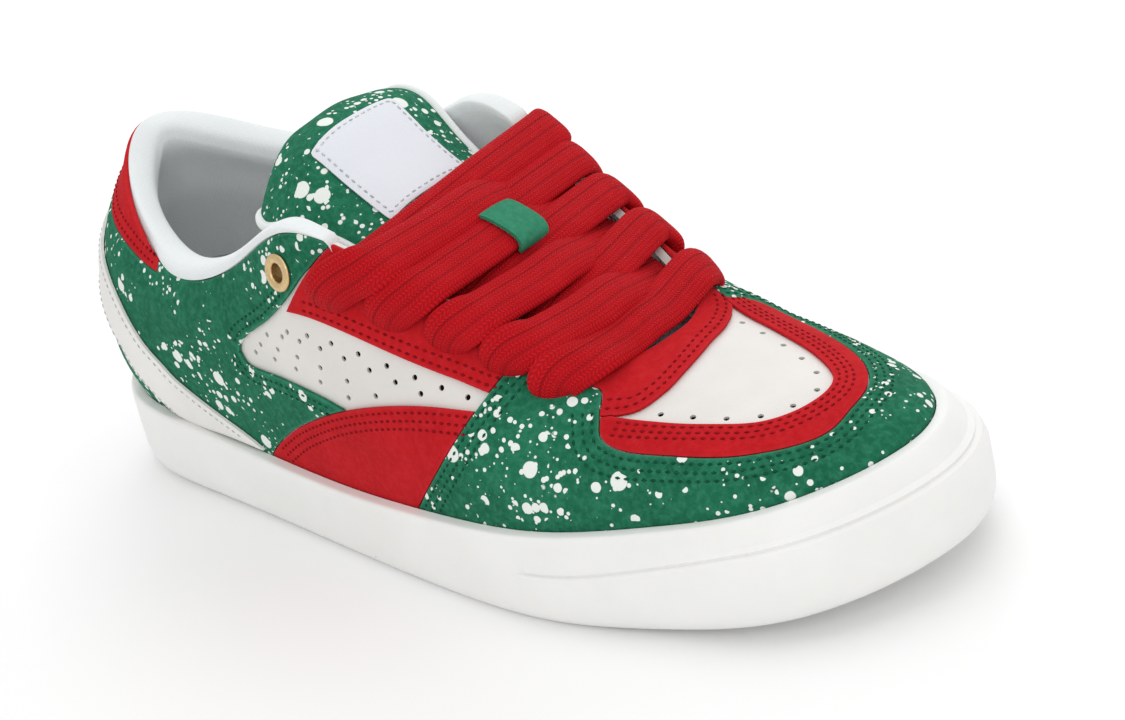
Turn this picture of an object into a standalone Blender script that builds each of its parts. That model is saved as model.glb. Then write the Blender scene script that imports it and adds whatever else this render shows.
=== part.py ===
# Low skateboarding shoe for the right foot, size about EU 42. Metres, +X towards the toe, +Z up.
# Every piece is taken from two functions: the sole outline and the surface of the last.
import math

import bmesh
import bpy
import numpy as np

for old in list(bpy.data.objects):
    bpy.data.objects.remove(old)

mm = 0.001

# Driving sizes
sole_length = 0.300
ball_width = 0.108
collar_height = 0.097
wall_height = 0.030
toe_spring = 0.011
upper_wall = 0.0022
overlay_wall = 0.0012
gap = 0.0003
rim_width = 0.0034
cup_floor_heel = 0.0130
cup_floor_toe = 0.0095
insole_thick = 0.0045
lace_width = 0.0150
lace_thick = 0.0042
eyelet_outer = 0.0106
eyelet_hole = 0.0052

columns = 48
column_us = np.linspace(0, 20, columns, endpoint=False)

# Sole stations round the shoe: 0 heel, 1 to 9 lateral, 10 toe, 11 to 19 medial.
# x as a share of the length, y of the ball width, wall of the wall height, rim and foot of 8 and 3 mm.
sole_stations = (
    # x, y, wall, rim inset, foot inset
    (0.000, 0.000, 0.97, 0.25, 0.83),
    (0.024, -0.199, 0.95, 0.19, 0.93),
    (0.087, -0.333, 0.88, 0.08, 1.07),
    (0.190, -0.380, 0.80, 0.04, 1.00),
    (0.310, -0.417, 0.75, 0.00, 0.80),
    (0.440, -0.463, 0.73, 0.00, 0.67),
    (0.570, -0.505, 0.78, 0.12, 0.67),
    (0.690, -0.519, 0.85, 0.32, 1.00),
    (0.808, -0.463, 0.93, 0.65, 1.20),
    (0.928, -0.329, 1.00, 0.85, 0.87),
    (1.000, 0.005, 1.02, 0.95, 0.80),
    (0.953, 0.301, 1.02, 0.95, 0.80),
    (0.852, 0.444, 0.95, 0.65, 0.80),
    (0.730, 0.481, 0.88, 0.40, 0.73),
    (0.600, 0.449, 0.83, 0.25, 0.67),
    (0.470, 0.394, 0.82, 0.18, 0.67),
    (0.340, 0.370, 0.83, 0.15, 0.73),
    (0.205, 0.375, 0.88, 0.15, 0.87),
    (0.090, 0.329, 0.95, 0.20, 0.93),
    (0.024, 0.194, 0.97, 0.22, 0.87),
)
rim_unit = 0.008
foot_unit = 0.003

# Upper stations, at the same places. Edge of the opening: x of length, y of ball width, z of collar
# height. Low handle leaving the sole and high handle reaching the edge: out and up, of collar height.
upper_stations = (
    # edge x, y, z, low out, low up, high out, high drop
    (0.067, 0.000, 1.000, 0.08, 0.31, 0.09, 0.19),
    (0.083, -0.111, 0.928, 0.09, 0.31, 0.10, 0.16),
    (0.137, -0.227, 0.851, 0.08, 0.22, 0.11, 0.15),
    (0.240, -0.333, 0.763, 0.04, 0.21, 0.06, 0.19),
    (0.353, -0.352, 0.866, 0.02, 0.25, 0.07, 0.25),
    (0.447, -0.361, 0.990, 0.01, 0.27, 0.09, 0.31),
    (0.543, -0.306, 0.856, 0.01, 0.24, 0.10, 0.23),
    (0.620, -0.250, 0.722, 0.01, 0.20, 0.09, 0.165),
    (0.687, -0.194, 0.608, 0.01, 0.125, 0.125, 0.093),
    (0.717, -0.093, 0.567, 0.01, 0.082, 0.26, 0.062),
    (0.723, 0.019, 0.562, 0.01, 0.072, 0.29, 0.062),
    (0.720, 0.111, 0.562, 0.01, 0.062, 0.206, 0.062),
    (0.690, 0.222, 0.598, 0.01, 0.082, 0.103, 0.093),
    (0.620, 0.287, 0.722, 0.01, 0.165, 0.072, 0.165),
    (0.543, 0.333, 0.856, 0.01, 0.227, 0.082, 0.227),
    (0.447, 0.370, 1.010, 0.01, 0.27, 0.072, 0.31),
    (0.353, 0.352, 0.907, 0.02, 0.25, 0.062, 0.25),
    (0.233, 0.324, 0.835, 0.04, 0.21, 0.055, 0.19),
    (0.140, 0.222, 0.928, 0.07, 0.25, 0.08, 0.165),
    (0.083, 0.120, 1.000, 0.08, 0.31, 0.08, 0.17),
)


def closed_spline(values):
    """Smooth closed curve through one column of a station table, read at a station number."""
    values = np.asarray(values, float)
    count = len(values)
    ahead, behind = np.roll(values, -1), np.roll(values, 1)
    system = 4 * np.eye(count) + np.roll(np.eye(count), 1, 0) + np.roll(np.eye(count), -1, 0)
    slope = np.linalg.solve(system, 3 * (ahead - behind))

    def read(u):
        u = np.mod(np.asarray(u, float), count)
        i = np.floor(u).astype(int) % count
        t = u - np.floor(u)
        j = (i + 1) % count
        start = values[i] * (1 + 2 * t) * (1 - t) ** 2 + slope[i] * t * (1 - t) ** 2
        return start + values[j] * t * t * (3 - 2 * t) + slope[j] * t * t * (t - 1)

    return read


def open_spline(values):
    """Smooth open curve through one column of a rib table, read at a share of its length."""
    values = np.asarray(values, float)
    last = len(values) - 1
    slope = np.gradient(values)

    def read(share):
        s = np.clip(np.asarray(share, float), 0, 1) * last
        i = np.minimum(np.floor(s).astype(int), last - 1)
        t = s - i
        start = values[i] * (1 + 2 * t) * (1 - t) ** 2 + slope[i] * t * (1 - t) ** 2
        return start + values[i + 1] * t * t * (3 - 2 * t) + slope[i + 1] * t * t * (t - 1)

    return read


sole_x, sole_y, sole_wall, rim_inset, foot_inset = (closed_spline(c) for c in zip(*sole_stations))
edge_x, edge_y, edge_z, low_out, low_up, high_out, high_drop = (
    closed_spline(c) for c in zip(*upper_stations)
)


def spring(x):
    return toe_spring * np.clip((x / sole_length - 0.66) / 0.34, 0, 1) ** 2.2


def outline(u, inset=0.0):
    """Sole outline at station u, moved in by inset: x, y and the outward direction."""
    x, y = sole_x(u) * sole_length, sole_y(u) * ball_width
    step = 1e-3
    tx = (sole_x(u + step) - sole_x(u - step)) * sole_length
    ty = (sole_y(u + step) - sole_y(u - step)) * ball_width
    size = np.hypot(tx, ty)
    nx, ny = ty / size, -tx / size
    return x - nx * inset, y - ny * inset, nx, ny


def wall_top(u):
    x = sole_x(u) * sole_length
    return sole_wall(u) * wall_height + 0.7 * spring(x)


def floor_z(x):
    """Top of the cup floor."""
    heel = np.clip((x / sole_length - 0.25) / 0.45, 0, 1)
    ease = heel * heel * (3 - 2 * heel)
    return cup_floor_heel + (cup_floor_toe - cup_floor_heel) * ease + spring(x)


def upper_point(u, v):
    """Outer face of the upper. v is 0 at the sole line, 1 at the opening, -1 on the cup floor."""
    u, v = np.broadcast_arrays(np.asarray(u, float), np.asarray(v, float))
    inset = rim_inset(u) * rim_unit + rim_width + overlay_wall + 2 * gap
    x, y, nx, ny = outline(u, inset)
    foot = np.stack([x, y, wall_top(u)], -1)
    edge = np.stack(
        [edge_x(u) * sole_length, edge_y(u) * ball_width, edge_z(u) * collar_height], -1
    )
    out = np.stack([nx, ny, 0 * nx], -1)
    up = np.array([0, 0, 1.0])
    low = foot + (out * low_out(u)[..., None] + up * low_up(u)[..., None]) * collar_height
    high = edge + (out * high_out(u)[..., None] - up * high_drop(u)[..., None]) * collar_height
    w = np.clip(v, 0, 1)[..., None]
    point = foot * (1 - w) ** 3 + 3 * low * w * (1 - w) ** 2 + 3 * high * w * w * (1 - w) + edge * w**3
    beyond = np.clip(v - 1, 0, 1)[..., None]
    point = point + beyond * 3 * (edge - high)
    below = np.clip(-v, 0, 1.5)[..., None]
    drop = (wall_top(u) - floor_z(x) - gap)[..., None]
    return point - below * (up * drop + out * 1.0 * mm)


def upper_normal(u, v):
    step = 1e-3
    u, v = np.broadcast_arrays(np.asarray(u, float), np.asarray(v, float))
    # At the sole line and below it the normal is level.
    v = np.where(v < 0.004, 0.004, np.minimum(v, 0.998))
    along = upper_point(u + step, v) - upper_point(u - step, v)
    across = upper_point(u, v + step) - upper_point(u, v - step)
    normal = np.cross(along, across)
    normal /= np.linalg.norm(normal, axis=-1, keepdims=True)
    return normal


def skin(u, v, offset=0.0):
    """Point at a distance outside the upper's outer face."""
    normal = upper_normal(u, v)
    low = np.broadcast_to(np.asarray(v, float), normal.shape[:-1]) < 0
    level = normal.copy()
    level[..., 2] = 0
    level /= np.linalg.norm(level, axis=-1, keepdims=True)
    normal = np.where(low[..., None], level, normal)
    return upper_point(u, v) + normal * np.asarray(offset, float)[..., None]


def material(name, colour, roughness, metallic=0.0):
    made = bpy.data.materials.new(name)
    made.use_nodes = True
    shader = made.node_tree.nodes["Principled BSDF"]
    shader.inputs["Base Color"].default_value = (*colour, 1)
    shader.inputs["Roughness"].default_value = roughness
    shader.inputs["Metallic"].default_value = metallic
    return made


white_rubber = (0.83, 0.83, 0.81)
white_leather = (0.78, 0.77, 0.73)
green_suede = (0.012, 0.14, 0.075)
red_suede = (0.45, 0.012, 0.018)
lining_white = (0.74, 0.78, 0.79)
lace_red = (0.55, 0.006, 0.012)
eyelet_gold = (0.66, 0.47, 0.22)


def add_object(name, mesh, colour, roughness=0.8, metallic=0.0):
    made = bpy.data.objects.new(name, mesh)
    bpy.context.scene.collection.objects.link(made)
    mesh.materials.append(material(name + "_material", colour, roughness, metallic))
    return made


def mesh_from(name, points, faces):
    mesh = bpy.data.meshes.new(name)
    mesh.from_pydata([tuple(p) for p in points], [], [tuple(f) for f in faces])
    work = bmesh.new()
    work.from_mesh(mesh)
    bmesh.ops.recalc_face_normals(work, faces=work.faces)
    bmesh.ops.triangulate(work, faces=work.faces[:])
    if work.calc_volume(signed=True) < 0:
        bmesh.ops.reverse_faces(work, faces=work.faces[:])
    work.to_mesh(mesh)
    work.free()
    mesh.update()
    return mesh


def ring_solid(name, loops, closed=True):
    """Closed solid from profile loops. closed joins the last loop to the first, else ends are capped."""
    loops = np.asarray(loops)
    count, size = loops.shape[:2]
    faces = []
    for i in range(count if closed else count - 1):
        j = (i + 1) % count
        for k in range(size):
            n = (k + 1) % size
            faces.append((i * size + k, j * size + k, j * size + n, i * size + n))
    if not closed:
        faces.append(tuple(range(size)))
        faces.append(tuple((count - 1) * size + k for k in range(size)))
    return mesh_from(name, loops.reshape(-1, 3), faces)


def tray_solid(name, loops):
    """Closed solid whose profiles end on two outlines, each filled by strips from side to side."""
    loops = np.asarray(loops)
    count, size = loops.shape[:2]
    faces = []
    for i in range(count):
        j = (i + 1) % count
        for k in range(size - 1):
            faces.append((i * size + k, j * size + k, j * size + k + 1, i * size + k + 1))
    for k in (0, size - 1):
        for i in range(count // 2):
            ring = [i, i + 1, (count - i - 1) % count, (count - i) % count]
            kept = []
            for r in ring:
                if r not in kept:
                    kept.append(r)
            faces.append(tuple(r * size + k for r in kept))
    return mesh_from(name, loops.reshape(-1, 3), faces)


def wire_cutter(name, mesh):
    made = bpy.data.objects.new(name, mesh)
    bpy.context.scene.collection.objects.link(made)
    made.hide_render = True
    made.display_type = "WIRE"
    return made


# The exact solver drops faces of the overlays where their cutters graze each other.
def boolean(target, cutter, operation, solver="MANIFOLD"):
    made = target.modifiers.new(operation.title() + "_" + cutter.name, "BOOLEAN")
    made.object = cutter
    made.operation = operation
    made.solver = solver
    return made


# Cup sole: one rubber moulding of tread, floor and side wall, with the raised toe bumper.
def bumper(u):
    """How far the toe bumper stands out, by station: it runs from the lateral ball round the toe."""
    return 0.7 * mm * np.clip((u - 6.9) / 0.35, 0, 1) * np.clip((13.3 - u) / 0.35, 0, 1)


def cup_profile(u):
    rim = rim_inset(u) * rim_unit
    foot = foot_inset(u) * foot_unit
    top = wall_top(u)
    rise = top - spring(sole_x(u) * sole_length)
    base = spring(sole_x(u) * sole_length)
    raised = bumper(u)
    shares = (
        # share of the wall's rise, inset
        (0.00, foot + 1.2 * mm),
        (0.07, foot * 0.45),
        (0.28, 0.0),
        (0.52, rim * 0.10 - 0.2 * mm - raised),
        (0.70, rim * 0.34 - raised),
        (0.74, rim * 0.42),
        (0.90, rim * 0.80),
        (0.975, rim * 0.97 + 0.1 * mm),
        (1.00, rim + 0.8 * mm),
    )
    points = []
    for share, inset in shares:
        x, y, _, _ = outline(u, inset)
        points.append(np.array([x, y, base + share * rise]))
    reach = overlay_wall + 2 * gap
    for v in (0.0, -1.0):
        points.append(skin(u, v, reach))
    floor = skin(u, -1.0, reach)
    floor[2] = upper_point(u, -1.0)[2] - gap
    points[-1] = floor
    points[9] = points[9] + np.array([0, 0, points[8][2] - points[9][2]])
    return points


cup_mesh = tray_solid("cup_sole", [cup_profile(u) for u in column_us])
cup_sole = add_object("cup_sole", cup_mesh, white_rubber, 0.45)

# Tread: cross grooves within a plain border, forefoot and heel.
groove_depth = 1.8 * mm
groove_width = 2.4 * mm
groove_pitch = 0.040 * sole_length
groove_places = [0.10 + 0.04 * k for k in range(6)] + [0.50 + 0.04 * k for k in range(7)]


def groove_points(x):
    border = 0.078 * ball_width
    half_low = np.interp(x, sole_x(np.arange(0, 10.5, 0.5)) * sole_length,
                         -sole_y(np.arange(0, 10.5, 0.5)) * ball_width)
    half_high = np.interp(x, sole_x(np.arange(20, 9.5, -0.5)) * sole_length,
                          sole_y(np.arange(20, 9.5, -0.5)) * ball_width)
    top = spring(x) + groove_depth
    return -half_low + border, half_high - border, top


tread_points = []
tread_faces = []
for place in groove_places:
    x = place * sole_length
    low, high, top = groove_points(x)
    start = len(tread_points)
    for cx in (x - groove_width / 2, x + groove_width / 2):
        for cy in (low, high):
            for cz in (-3 * mm, top):
                tread_points.append((cx, cy, cz))
    tread_faces += [
        tuple(start + k for k in face)
        for face in (
            (0, 1, 3, 2), (4, 6, 7, 5), (0, 4, 5, 1), (2, 3, 7, 6), (0, 2, 6, 4), (1, 5, 7, 3),
        )
    ]
tread_cutter = wire_cutter("tread_cutter", mesh_from("tread_cutter", tread_points, tread_faces))
boolean(cup_sole, tread_cutter, "DIFFERENCE", "EXACT")

# Upper: one hollow wall, open at the collar and throat and underneath.
wall_rows = np.array([-1.0, 0.0, 0.19, 0.40, 0.62, 0.82, 1.0])


def band_loop(u, inner, outer, rows=wall_rows):
    outside = [skin(u, v, outer) for v in rows]
    inside = [skin(u, v, inner) for v in rows[::-1]]
    return outside + inside


upper_mesh = ring_solid("upper", [band_loop(u, -upper_wall, 0.0) for u in column_us])
upper = add_object("upper", upper_mesh, white_leather, 0.55)

# Insole, on the cup floor inside the upper.
def insole_profile(u):
    edge = skin(u, -1.0, -upper_wall - gap)
    _, _, nx, ny = outline(u)
    low = upper_point(u, -1.0)[2]
    inward = np.array([nx, ny, 0.0])
    points = []
    for share, inset in ((0.0, 0.6), (0.25, 0.0), (0.8, 0.2), (1.0, 1.4)):
        point = edge - inward * inset * mm
        point[2] = low + share * insole_thick
        points.append(point)
    return points


insole_mesh = tray_solid("insole", [insole_profile(u) for u in column_us])
insole = add_object("insole", insole_mesh, lining_white, 0.9)


# Overlays: each is cut from a skin over the upper by a cutter that follows its ribs.
# A rib row is pairs of station u and height v, from the sole line up.
def rib_points(rows, margin, samples, steps, low, high):
    table = np.asarray(rows, float)
    pairs = table.shape[1] // 2
    us = [open_spline(table[:, 2 * k]) for k in range(pairs)]
    vs = [open_spline(table[:, 2 * k + 1]) for k in range(pairs)]
    shares = np.linspace(0, 1, samples)
    us = np.array([read(shares) for read in us])
    vs = np.array([read(shares) for read in vs])
    line_u, line_v = [], []
    for k in range(pairs - 1):
        for t in np.linspace(0, 1, steps, endpoint=False):
            line_u.append(us[k] + (us[k + 1] - us[k]) * t)
            line_v.append(vs[k] + (vs[k + 1] - vs[k]) * t)
    line_u.append(us[-1])
    line_v.append(vs[-1])
    grid_u, grid_v = np.array(line_u).T, np.array(line_v).T
    if margin:
        grid_u, grid_v = moved_edges(grid_u, grid_v, margin)
    return skin(grid_u, grid_v, low), skin(grid_u, grid_v, high)


def rim_of(count, size):
    """Grid places round the edge of a patch, in order."""
    rim = [(i, 0) for i in range(count)] + [(count - 1, k) for k in range(1, size)]
    rim += [(i, size - 1) for i in range(count - 2, -1, -1)] + [(0, k) for k in range(size - 2, 0, -1)]
    return rim


def moved_edges(grid_u, grid_v, margin):
    """Moves the edge of a u, v grid outwards over the surface by a margin."""
    rows, lines = zip(*rim_of(*grid_u.shape))
    us, vs = grid_u[rows, lines], grid_v[rows, lines]
    step = 0.01
    du = (upper_point(us + step, vs) - upper_point(us - step, vs)) / (2 * step)
    dv = (upper_point(us, vs + step) - upper_point(us, vs - step)) / (2 * step)
    place = upper_point(us, vs)
    run = np.roll(place, -1, 0) - np.roll(place, 1, 0)
    away = np.cross(run, np.cross(du, dv))
    away /= np.maximum(np.linalg.norm(away, axis=-1, keepdims=True), 1e-9)
    area = np.sum(us * np.roll(vs, -1) - vs * np.roll(us, -1))
    away *= margin * (1 if area > 0 else -1)
    uu, uv, vv = (du * du).sum(-1), (du * dv).sum(-1), (dv * dv).sum(-1)
    au, av = (du * away).sum(-1), (dv * away).sum(-1)
    size = uu * vv - uv * uv
    grid_u[rows, lines] += (au * vv - av * uv) / size
    grid_v[rows, lines] += (av * uu - au * uv) / size
    return grid_u, grid_v


def patch_mesh(name, rows, margin=0.0, samples=18, steps=3, low=-1.6 * mm, high=4.0 * mm):
    inside, outside = rib_points(rows, margin, samples, steps, low, high)
    count, size = inside.shape[:2]
    points = np.concatenate([inside.reshape(-1, 3), outside.reshape(-1, 3)])
    shift = count * size
    faces = []
    for i in range(count - 1):
        for k in range(size - 1):
            a, b, c, d = i * size + k, (i + 1) * size + k, (i + 1) * size + k + 1, i * size + k + 1
            faces.append((a, b, c, d))
            faces.append((d + shift, c + shift, b + shift, a + shift))
    rim = [i * size + k for i, k in rim_of(count, size)]
    for a, b in zip(rim, rim[1:] + rim[:1]):
        faces.append((a, b, b + shift, a + shift))
    return mesh_from(name, points, faces)


def mirrored(rows):
    """The same ribs on the other side of the shoe."""
    table = np.array(rows, float)
    table[:, 0::2] = 20 - table[:, 0::2]
    return table


mudguard_ribs = (
    # u, v below the sole line; u, v on it; u, v on the inner edge
    (5.74, -1.1, 5.74, 0.0, 7.16, 0.80),
    (6.30, -1.1, 6.30, 0.0, 7.72, 0.83),
    (6.90, -1.1, 6.90, 0.0, 8.30, 0.83),
    (7.35, -1.1, 7.35, 0.0, 8.10, 0.66),
    (7.75, -1.1, 7.75, 0.0, 7.95, 0.53),
    (8.15, -1.1, 8.15, 0.0, 8.08, 0.465),
    (8.60, -1.1, 8.60, 0.0, 8.55, 0.435),
    (9.05, -1.1, 9.05, 0.0, 9.05, 0.36),
    (9.50, -1.1, 9.50, 0.0, 9.50, 0.31),
    (9.90, -1.1, 9.90, 0.0, 9.90, 0.355),
    (10.3, -1.1, 10.3, 0.0, 10.3, 0.38),
    (10.7, -1.1, 10.7, 0.0, 10.7, 0.42),
    (11.2, -1.1, 11.2, 0.0, 11.2, 0.49),
    (11.7, -1.1, 11.7, 0.0, 11.7, 0.55),
    (12.2, -1.1, 12.2, 0.0, 12.08, 0.62),
    (12.7, -1.1, 12.7, 0.0, 11.98, 0.73),
    (13.2, -1.1, 13.2, 0.0, 11.85, 0.83),
    (13.7, -1.1, 13.7, 0.0, 12.35, 0.84),
    (14.26, -1.1, 14.26, 0.0, 12.84, 0.80),
)
vamp_trim_ribs = (
    # u, v under the mudguard; u, v along the toe leather
    (7.60, 0.60, 8.28, 0.68),
    (7.80, 0.42, 8.55, 0.665),
    (8.40, 0.34, 8.80, 0.64),
    (8.95, 0.28, 9.10, 0.585),
    (9.40, 0.22, 9.42, 0.50),
    (9.80, 0.22, 9.80, 0.475),
    (10.2, 0.26, 10.2, 0.495),
    (10.6, 0.32, 10.55, 0.59),
    (11.2, 0.40, 11.00, 0.72),
    (11.8, 0.46, 11.45, 0.80),
    (12.5, 0.60, 11.80, 0.84),
)
throat_tab_ribs = (
    # u, v along the toe leather; u, v past the throat edge
    (7.95, 0.66, 8.25, 1.06),
    (8.60, 0.71, 8.62, 1.06),
    (9.10, 0.785, 9.10, 1.06),
    (9.60, 0.85, 9.60, 1.06),
    (10.2, 0.885, 10.2, 1.06),
    (10.8, 0.868, 10.8, 1.06),
    (11.3, 0.842, 11.3, 1.06),
    (12.0, 0.80, 11.85, 1.06),
)
eyestay_ribs = (
    (4.76, 0.745, 5.52, 1.06),
    (5.48, 0.712, 6.00, 1.06),
    (5.98, 0.690, 6.40, 1.06),
    (6.53, 0.670, 6.80, 1.06),
    (7.00, 0.655, 7.15, 1.06),
    (7.40, 0.76, 7.50, 1.06),
    (7.90, 0.82, 7.95, 1.06),
    (8.60, 0.84, 8.60, 1.06),
)
saddle_ribs = (
    (4.02, -1.1, 4.02, 0.0, 4.08, 0.03),
    (4.30, -1.1, 4.30, 0.0, 4.27, 0.11),
    (4.70, -1.1, 4.70, 0.0, 4.60, 0.22),
    (5.20, -1.1, 5.20, 0.0, 5.20, 0.355),
    (5.60, -1.1, 5.60, 0.0, 6.05, 0.490),
    (5.95, -1.1, 5.95, 0.0, 6.90, 0.555),
)
quarter_ribs = (
    (0.015, -1.1, 0.015, 0.0, 0.015, 0.82),
    (0.80, -1.1, 0.80, 0.0, 0.80, 0.84),
    (1.60, -1.1, 1.60, 0.0, 1.60, 0.87),
    (2.25, -1.1, 2.25, 0.0, 2.25, 0.91),
    (2.55, -1.1, 2.55, 0.0, 2.55, 1.00),
    (2.85, -1.1, 2.85, 0.0, 2.85, 1.06),
    (3.50, -1.1, 3.50, 0.0, 3.50, 1.06),
    (4.10, -1.1, 4.20, 0.0, 4.30, 1.06),
    (4.60, -1.1, 4.60, 0.0, 5.00, 1.06),
    (5.30, -1.1, 5.30, 0.0, 5.60, 1.06),
)
window_ribs = (
    # lower and upper edge of the white side panel
    (3.87, 0.585, 3.88, 0.625),
    (4.03, 0.495, 4.02, 0.675),
    (4.50, 0.440, 4.42, 0.725),
    (5.00, 0.388, 4.80, 0.80),
    (5.25, 0.360, 5.20, 0.92),
    (5.80, 0.340, 5.70, 0.98),
)
heel_tab_ribs = (
    (-2.62, 0.945, -2.62, 1.06),
    (-2.25, 0.91, -2.25, 1.06),
    (-1.60, 0.87, -1.60, 1.06),
    (-0.80, 0.84, -0.80, 1.06),
    (0.00, 0.82, 0.00, 1.06),
    (0.80, 0.84, 0.80, 1.06),
    (1.60, 0.87, 1.60, 1.06),
    (2.25, 0.91, 2.25, 1.06),
    (2.62, 0.945, 2.62, 1.06),
)
heel_band_ribs = (
    (-3.96, 0.022, -3.86, 0.050),
    (-3.50, 0.022, -3.40, 0.155),
    (-2.75, 0.022, -2.95, 0.30),
    (-2.30, 0.21, -2.50, 0.47),
    (-1.80, 0.40, -1.90, 0.64),
    (-1.00, 0.47, -1.00, 0.70),
    (0.00, 0.49, 0.00, 0.72),
    (1.00, 0.47, 1.00, 0.70),
    (1.80, 0.40, 1.90, 0.64),
    (2.30, 0.21, 2.50, 0.47),
    (2.75, 0.022, 2.95, 0.30),
    (3.50, 0.022, 3.40, 0.155),
    (3.96, 0.022, 3.86, 0.050),
)

overlay_low = gap
overlay_high = gap + overlay_wall


def skin_range(name, first, last, low, high, rows=wall_rows):
    """A stretch of skin over the upper, from one station to another."""
    step = 20 / columns
    start, stop = math.floor(first / step) - 1, math.ceil(last / step) + 1
    loops = [band_loop(k * step, low, high, rows) for k in range(start, stop + 1)]
    return ring_solid(name, loops, closed=False)


def cutter_of(name, rows, margin, **kinds):
    return wire_cutter(name, patch_mesh(name, rows, margin, **kinds))


def overlay(name, rows, colour, roughness, minus=(), level=0, **kinds):
    table = np.asarray(rows, float)
    us = table[:, 0::2]
    low = overlay_low + level * (overlay_wall + gap)
    mesh = skin_range(name, us.min(), us.max(), low, low + overlay_wall)
    made = add_object(name, mesh, colour, roughness)
    boolean(made, cutter_of(name + "_cutter", rows, 0.0, **kinds), "INTERSECT")
    for other in minus:
        boolean(made, other, "DIFFERENCE")
    return made


seam = 1.3 * gap
mudguard_grown = cutter_of("mudguard_grown", mudguard_ribs, seam, samples=38)
trim_grown = cutter_of("trim_grown", vamp_trim_ribs, seam, samples=26)
throat_grown = cutter_of("throat_grown", throat_tab_ribs, seam)

toe_mudguard = overlay("toe_mudguard", mudguard_ribs, green_suede, 0.95, samples=38)
vamp_trim = overlay("vamp_trim", vamp_trim_ribs, red_suede, 0.95, (mudguard_grown,), samples=26)
throat_tab = overlay("throat_tab", throat_tab_ribs, red_suede, 0.95, (mudguard_grown, trim_grown))

tab_grown = cutter_of("tab_grown", heel_tab_ribs, seam)
for side, turn in (("lateral", lambda rows: np.array(rows, float)), ("medial", mirrored)):
    eyestay_grown = cutter_of("eyestay_grown_" + side, turn(eyestay_ribs), seam)
    saddle_grown = cutter_of("saddle_grown_" + side, turn(saddle_ribs), seam)
    window = cutter_of("window_" + side, turn(window_ribs), 0.0)
    overlay("eyestay_" + side, turn(eyestay_ribs), red_suede, 0.95, (mudguard_grown, throat_grown))
    overlay("saddle_" + side, turn(saddle_ribs), red_suede, 0.95, (mudguard_grown,))
    overlay(
        "quarter_" + side, turn(quarter_ribs), green_suede, 0.95,
        (tab_grown, eyestay_grown, saddle_grown, window),
    )
heel_tab = overlay("heel_tab", heel_tab_ribs, red_suede, 0.95)
heel_band = overlay("heel_band", heel_band_ribs, white_leather, 0.5, level=1)


# Collar lining: a padded roll over the collar edge that goes down inside the wall.
lining_end = 5.01
pad_full = 0.0062
pad_thin = 0.0028
roll_height = 0.0056


def lining_loop(u):
    share = np.clip((abs(u) - 3.2) / 1.5, 0, 1)
    ease = share * share * (3 - 2 * share)
    pad = pad_full + (pad_thin - pad_full) * ease
    roll = roll_height * (1 - 0.25 * ease)
    end = np.clip((abs(u) - (lining_end - 0.35)) / 0.35, 0, 1)
    roll = roll * (1 - 0.45 * end)
    behind = upper_wall + gap
    edge = skin(u, 1.0, 0.0)
    normal = upper_normal(u, 1.0)
    rise = upper_point(u, 1.02) - upper_point(u, 1.0)
    rise /= np.linalg.norm(rise)
    cover = overlay_high + 0.3 * mm
    over = (
        # along the wall past the edge, out from the wall's face
        (0.35 * mm, -0.8 * mm),
        (0.35 * mm, cover),
        (0.45 * roll, cover + 0.5 * mm),
        (0.85 * roll, 0.2 * mm),
        (1.00 * roll, -behind - 0.25 * pad),
        (0.85 * roll, -behind - 0.75 * pad),
        (0.20 * roll, -behind - 1.10 * pad),
    )
    outside = [skin(u, v, -behind) for v in wall_rows[3:]]
    crown = [edge + rise * a + normal * b for a, b in over]
    inside = [
        skin(u, v, -behind - depth * pad)
        for v, depth in zip(wall_rows[-2:2:-1], (1.05, 0.85, 0.45))
    ]
    return outside + crown + inside


step_u = 20 / columns
lining_count = int(lining_end / step_u)
lining_us = [k * step_u for k in range(-lining_count, lining_count + 1)]
lining_mesh = ring_solid("collar_lining", [lining_loop(u) for u in lining_us], closed=False)
collar_lining = add_object("collar_lining", lining_mesh, lining_white, 0.9)

# Tongue: padded, thick at the top and thin where it goes under the toe leather.
tongue_stations = (
    # x of length, z of collar height, half width of ball width, edge drop and thickness in mm
    (0.3290, 1.020, 0.185, 5.0, 2.0),
    (0.3350, 1.078, 0.232, 7.5, 8.5),
    (0.3530, 1.110, 0.262, 9.5, 12.5),
    (0.3900, 1.108, 0.270, 10.0, 13.0),
    (0.4340, 1.026, 0.258, 9.0, 12.0),
    (0.4800, 0.937, 0.248, 8.0, 10.0),
    (0.5430, 0.820, 0.245, 7.0, 8.0),
    (0.6200, 0.686, 0.225, 5.5, 6.0),
    (0.6870, 0.575, 0.195, 4.5, 4.6),
    (0.7230, 0.527, 0.170, 3.5, 3.6),
    (0.7600, 0.500, 0.145, 3.0, 2.8),
    (0.7950, 0.478, 0.120, 2.5, 1.6),
)
tongue_x, tongue_z, tongue_half, tongue_drop, tongue_thick = (
    open_spline(c) for c in zip(*tongue_stations)
)


def tongue_top(share, across, lift=0.0):
    """Top face of the tongue: share from the free end to the root, across from -1 to 1."""
    x = tongue_x(share) * sole_length
    y = across * tongue_half(share) * ball_width
    z = tongue_z(share) * collar_height - tongue_drop(share) * mm * abs(across) ** 2.6
    step = 1e-3
    dx = (tongue_x(share + step) - tongue_x(share - step)) * sole_length
    dz = (tongue_z(share + step) - tongue_z(share - step)) * collar_height
    size = math.hypot(dx, dz)
    side = tongue_drop(share) * mm * 2.6 * abs(across) ** 1.6 * np.sign(across)
    lean = side / (tongue_half(share) * ball_width)
    normal = np.array([-dz / size, lean, dx / size])
    normal /= np.linalg.norm(normal)
    return np.array([x, y, z]) + normal * lift


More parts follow.
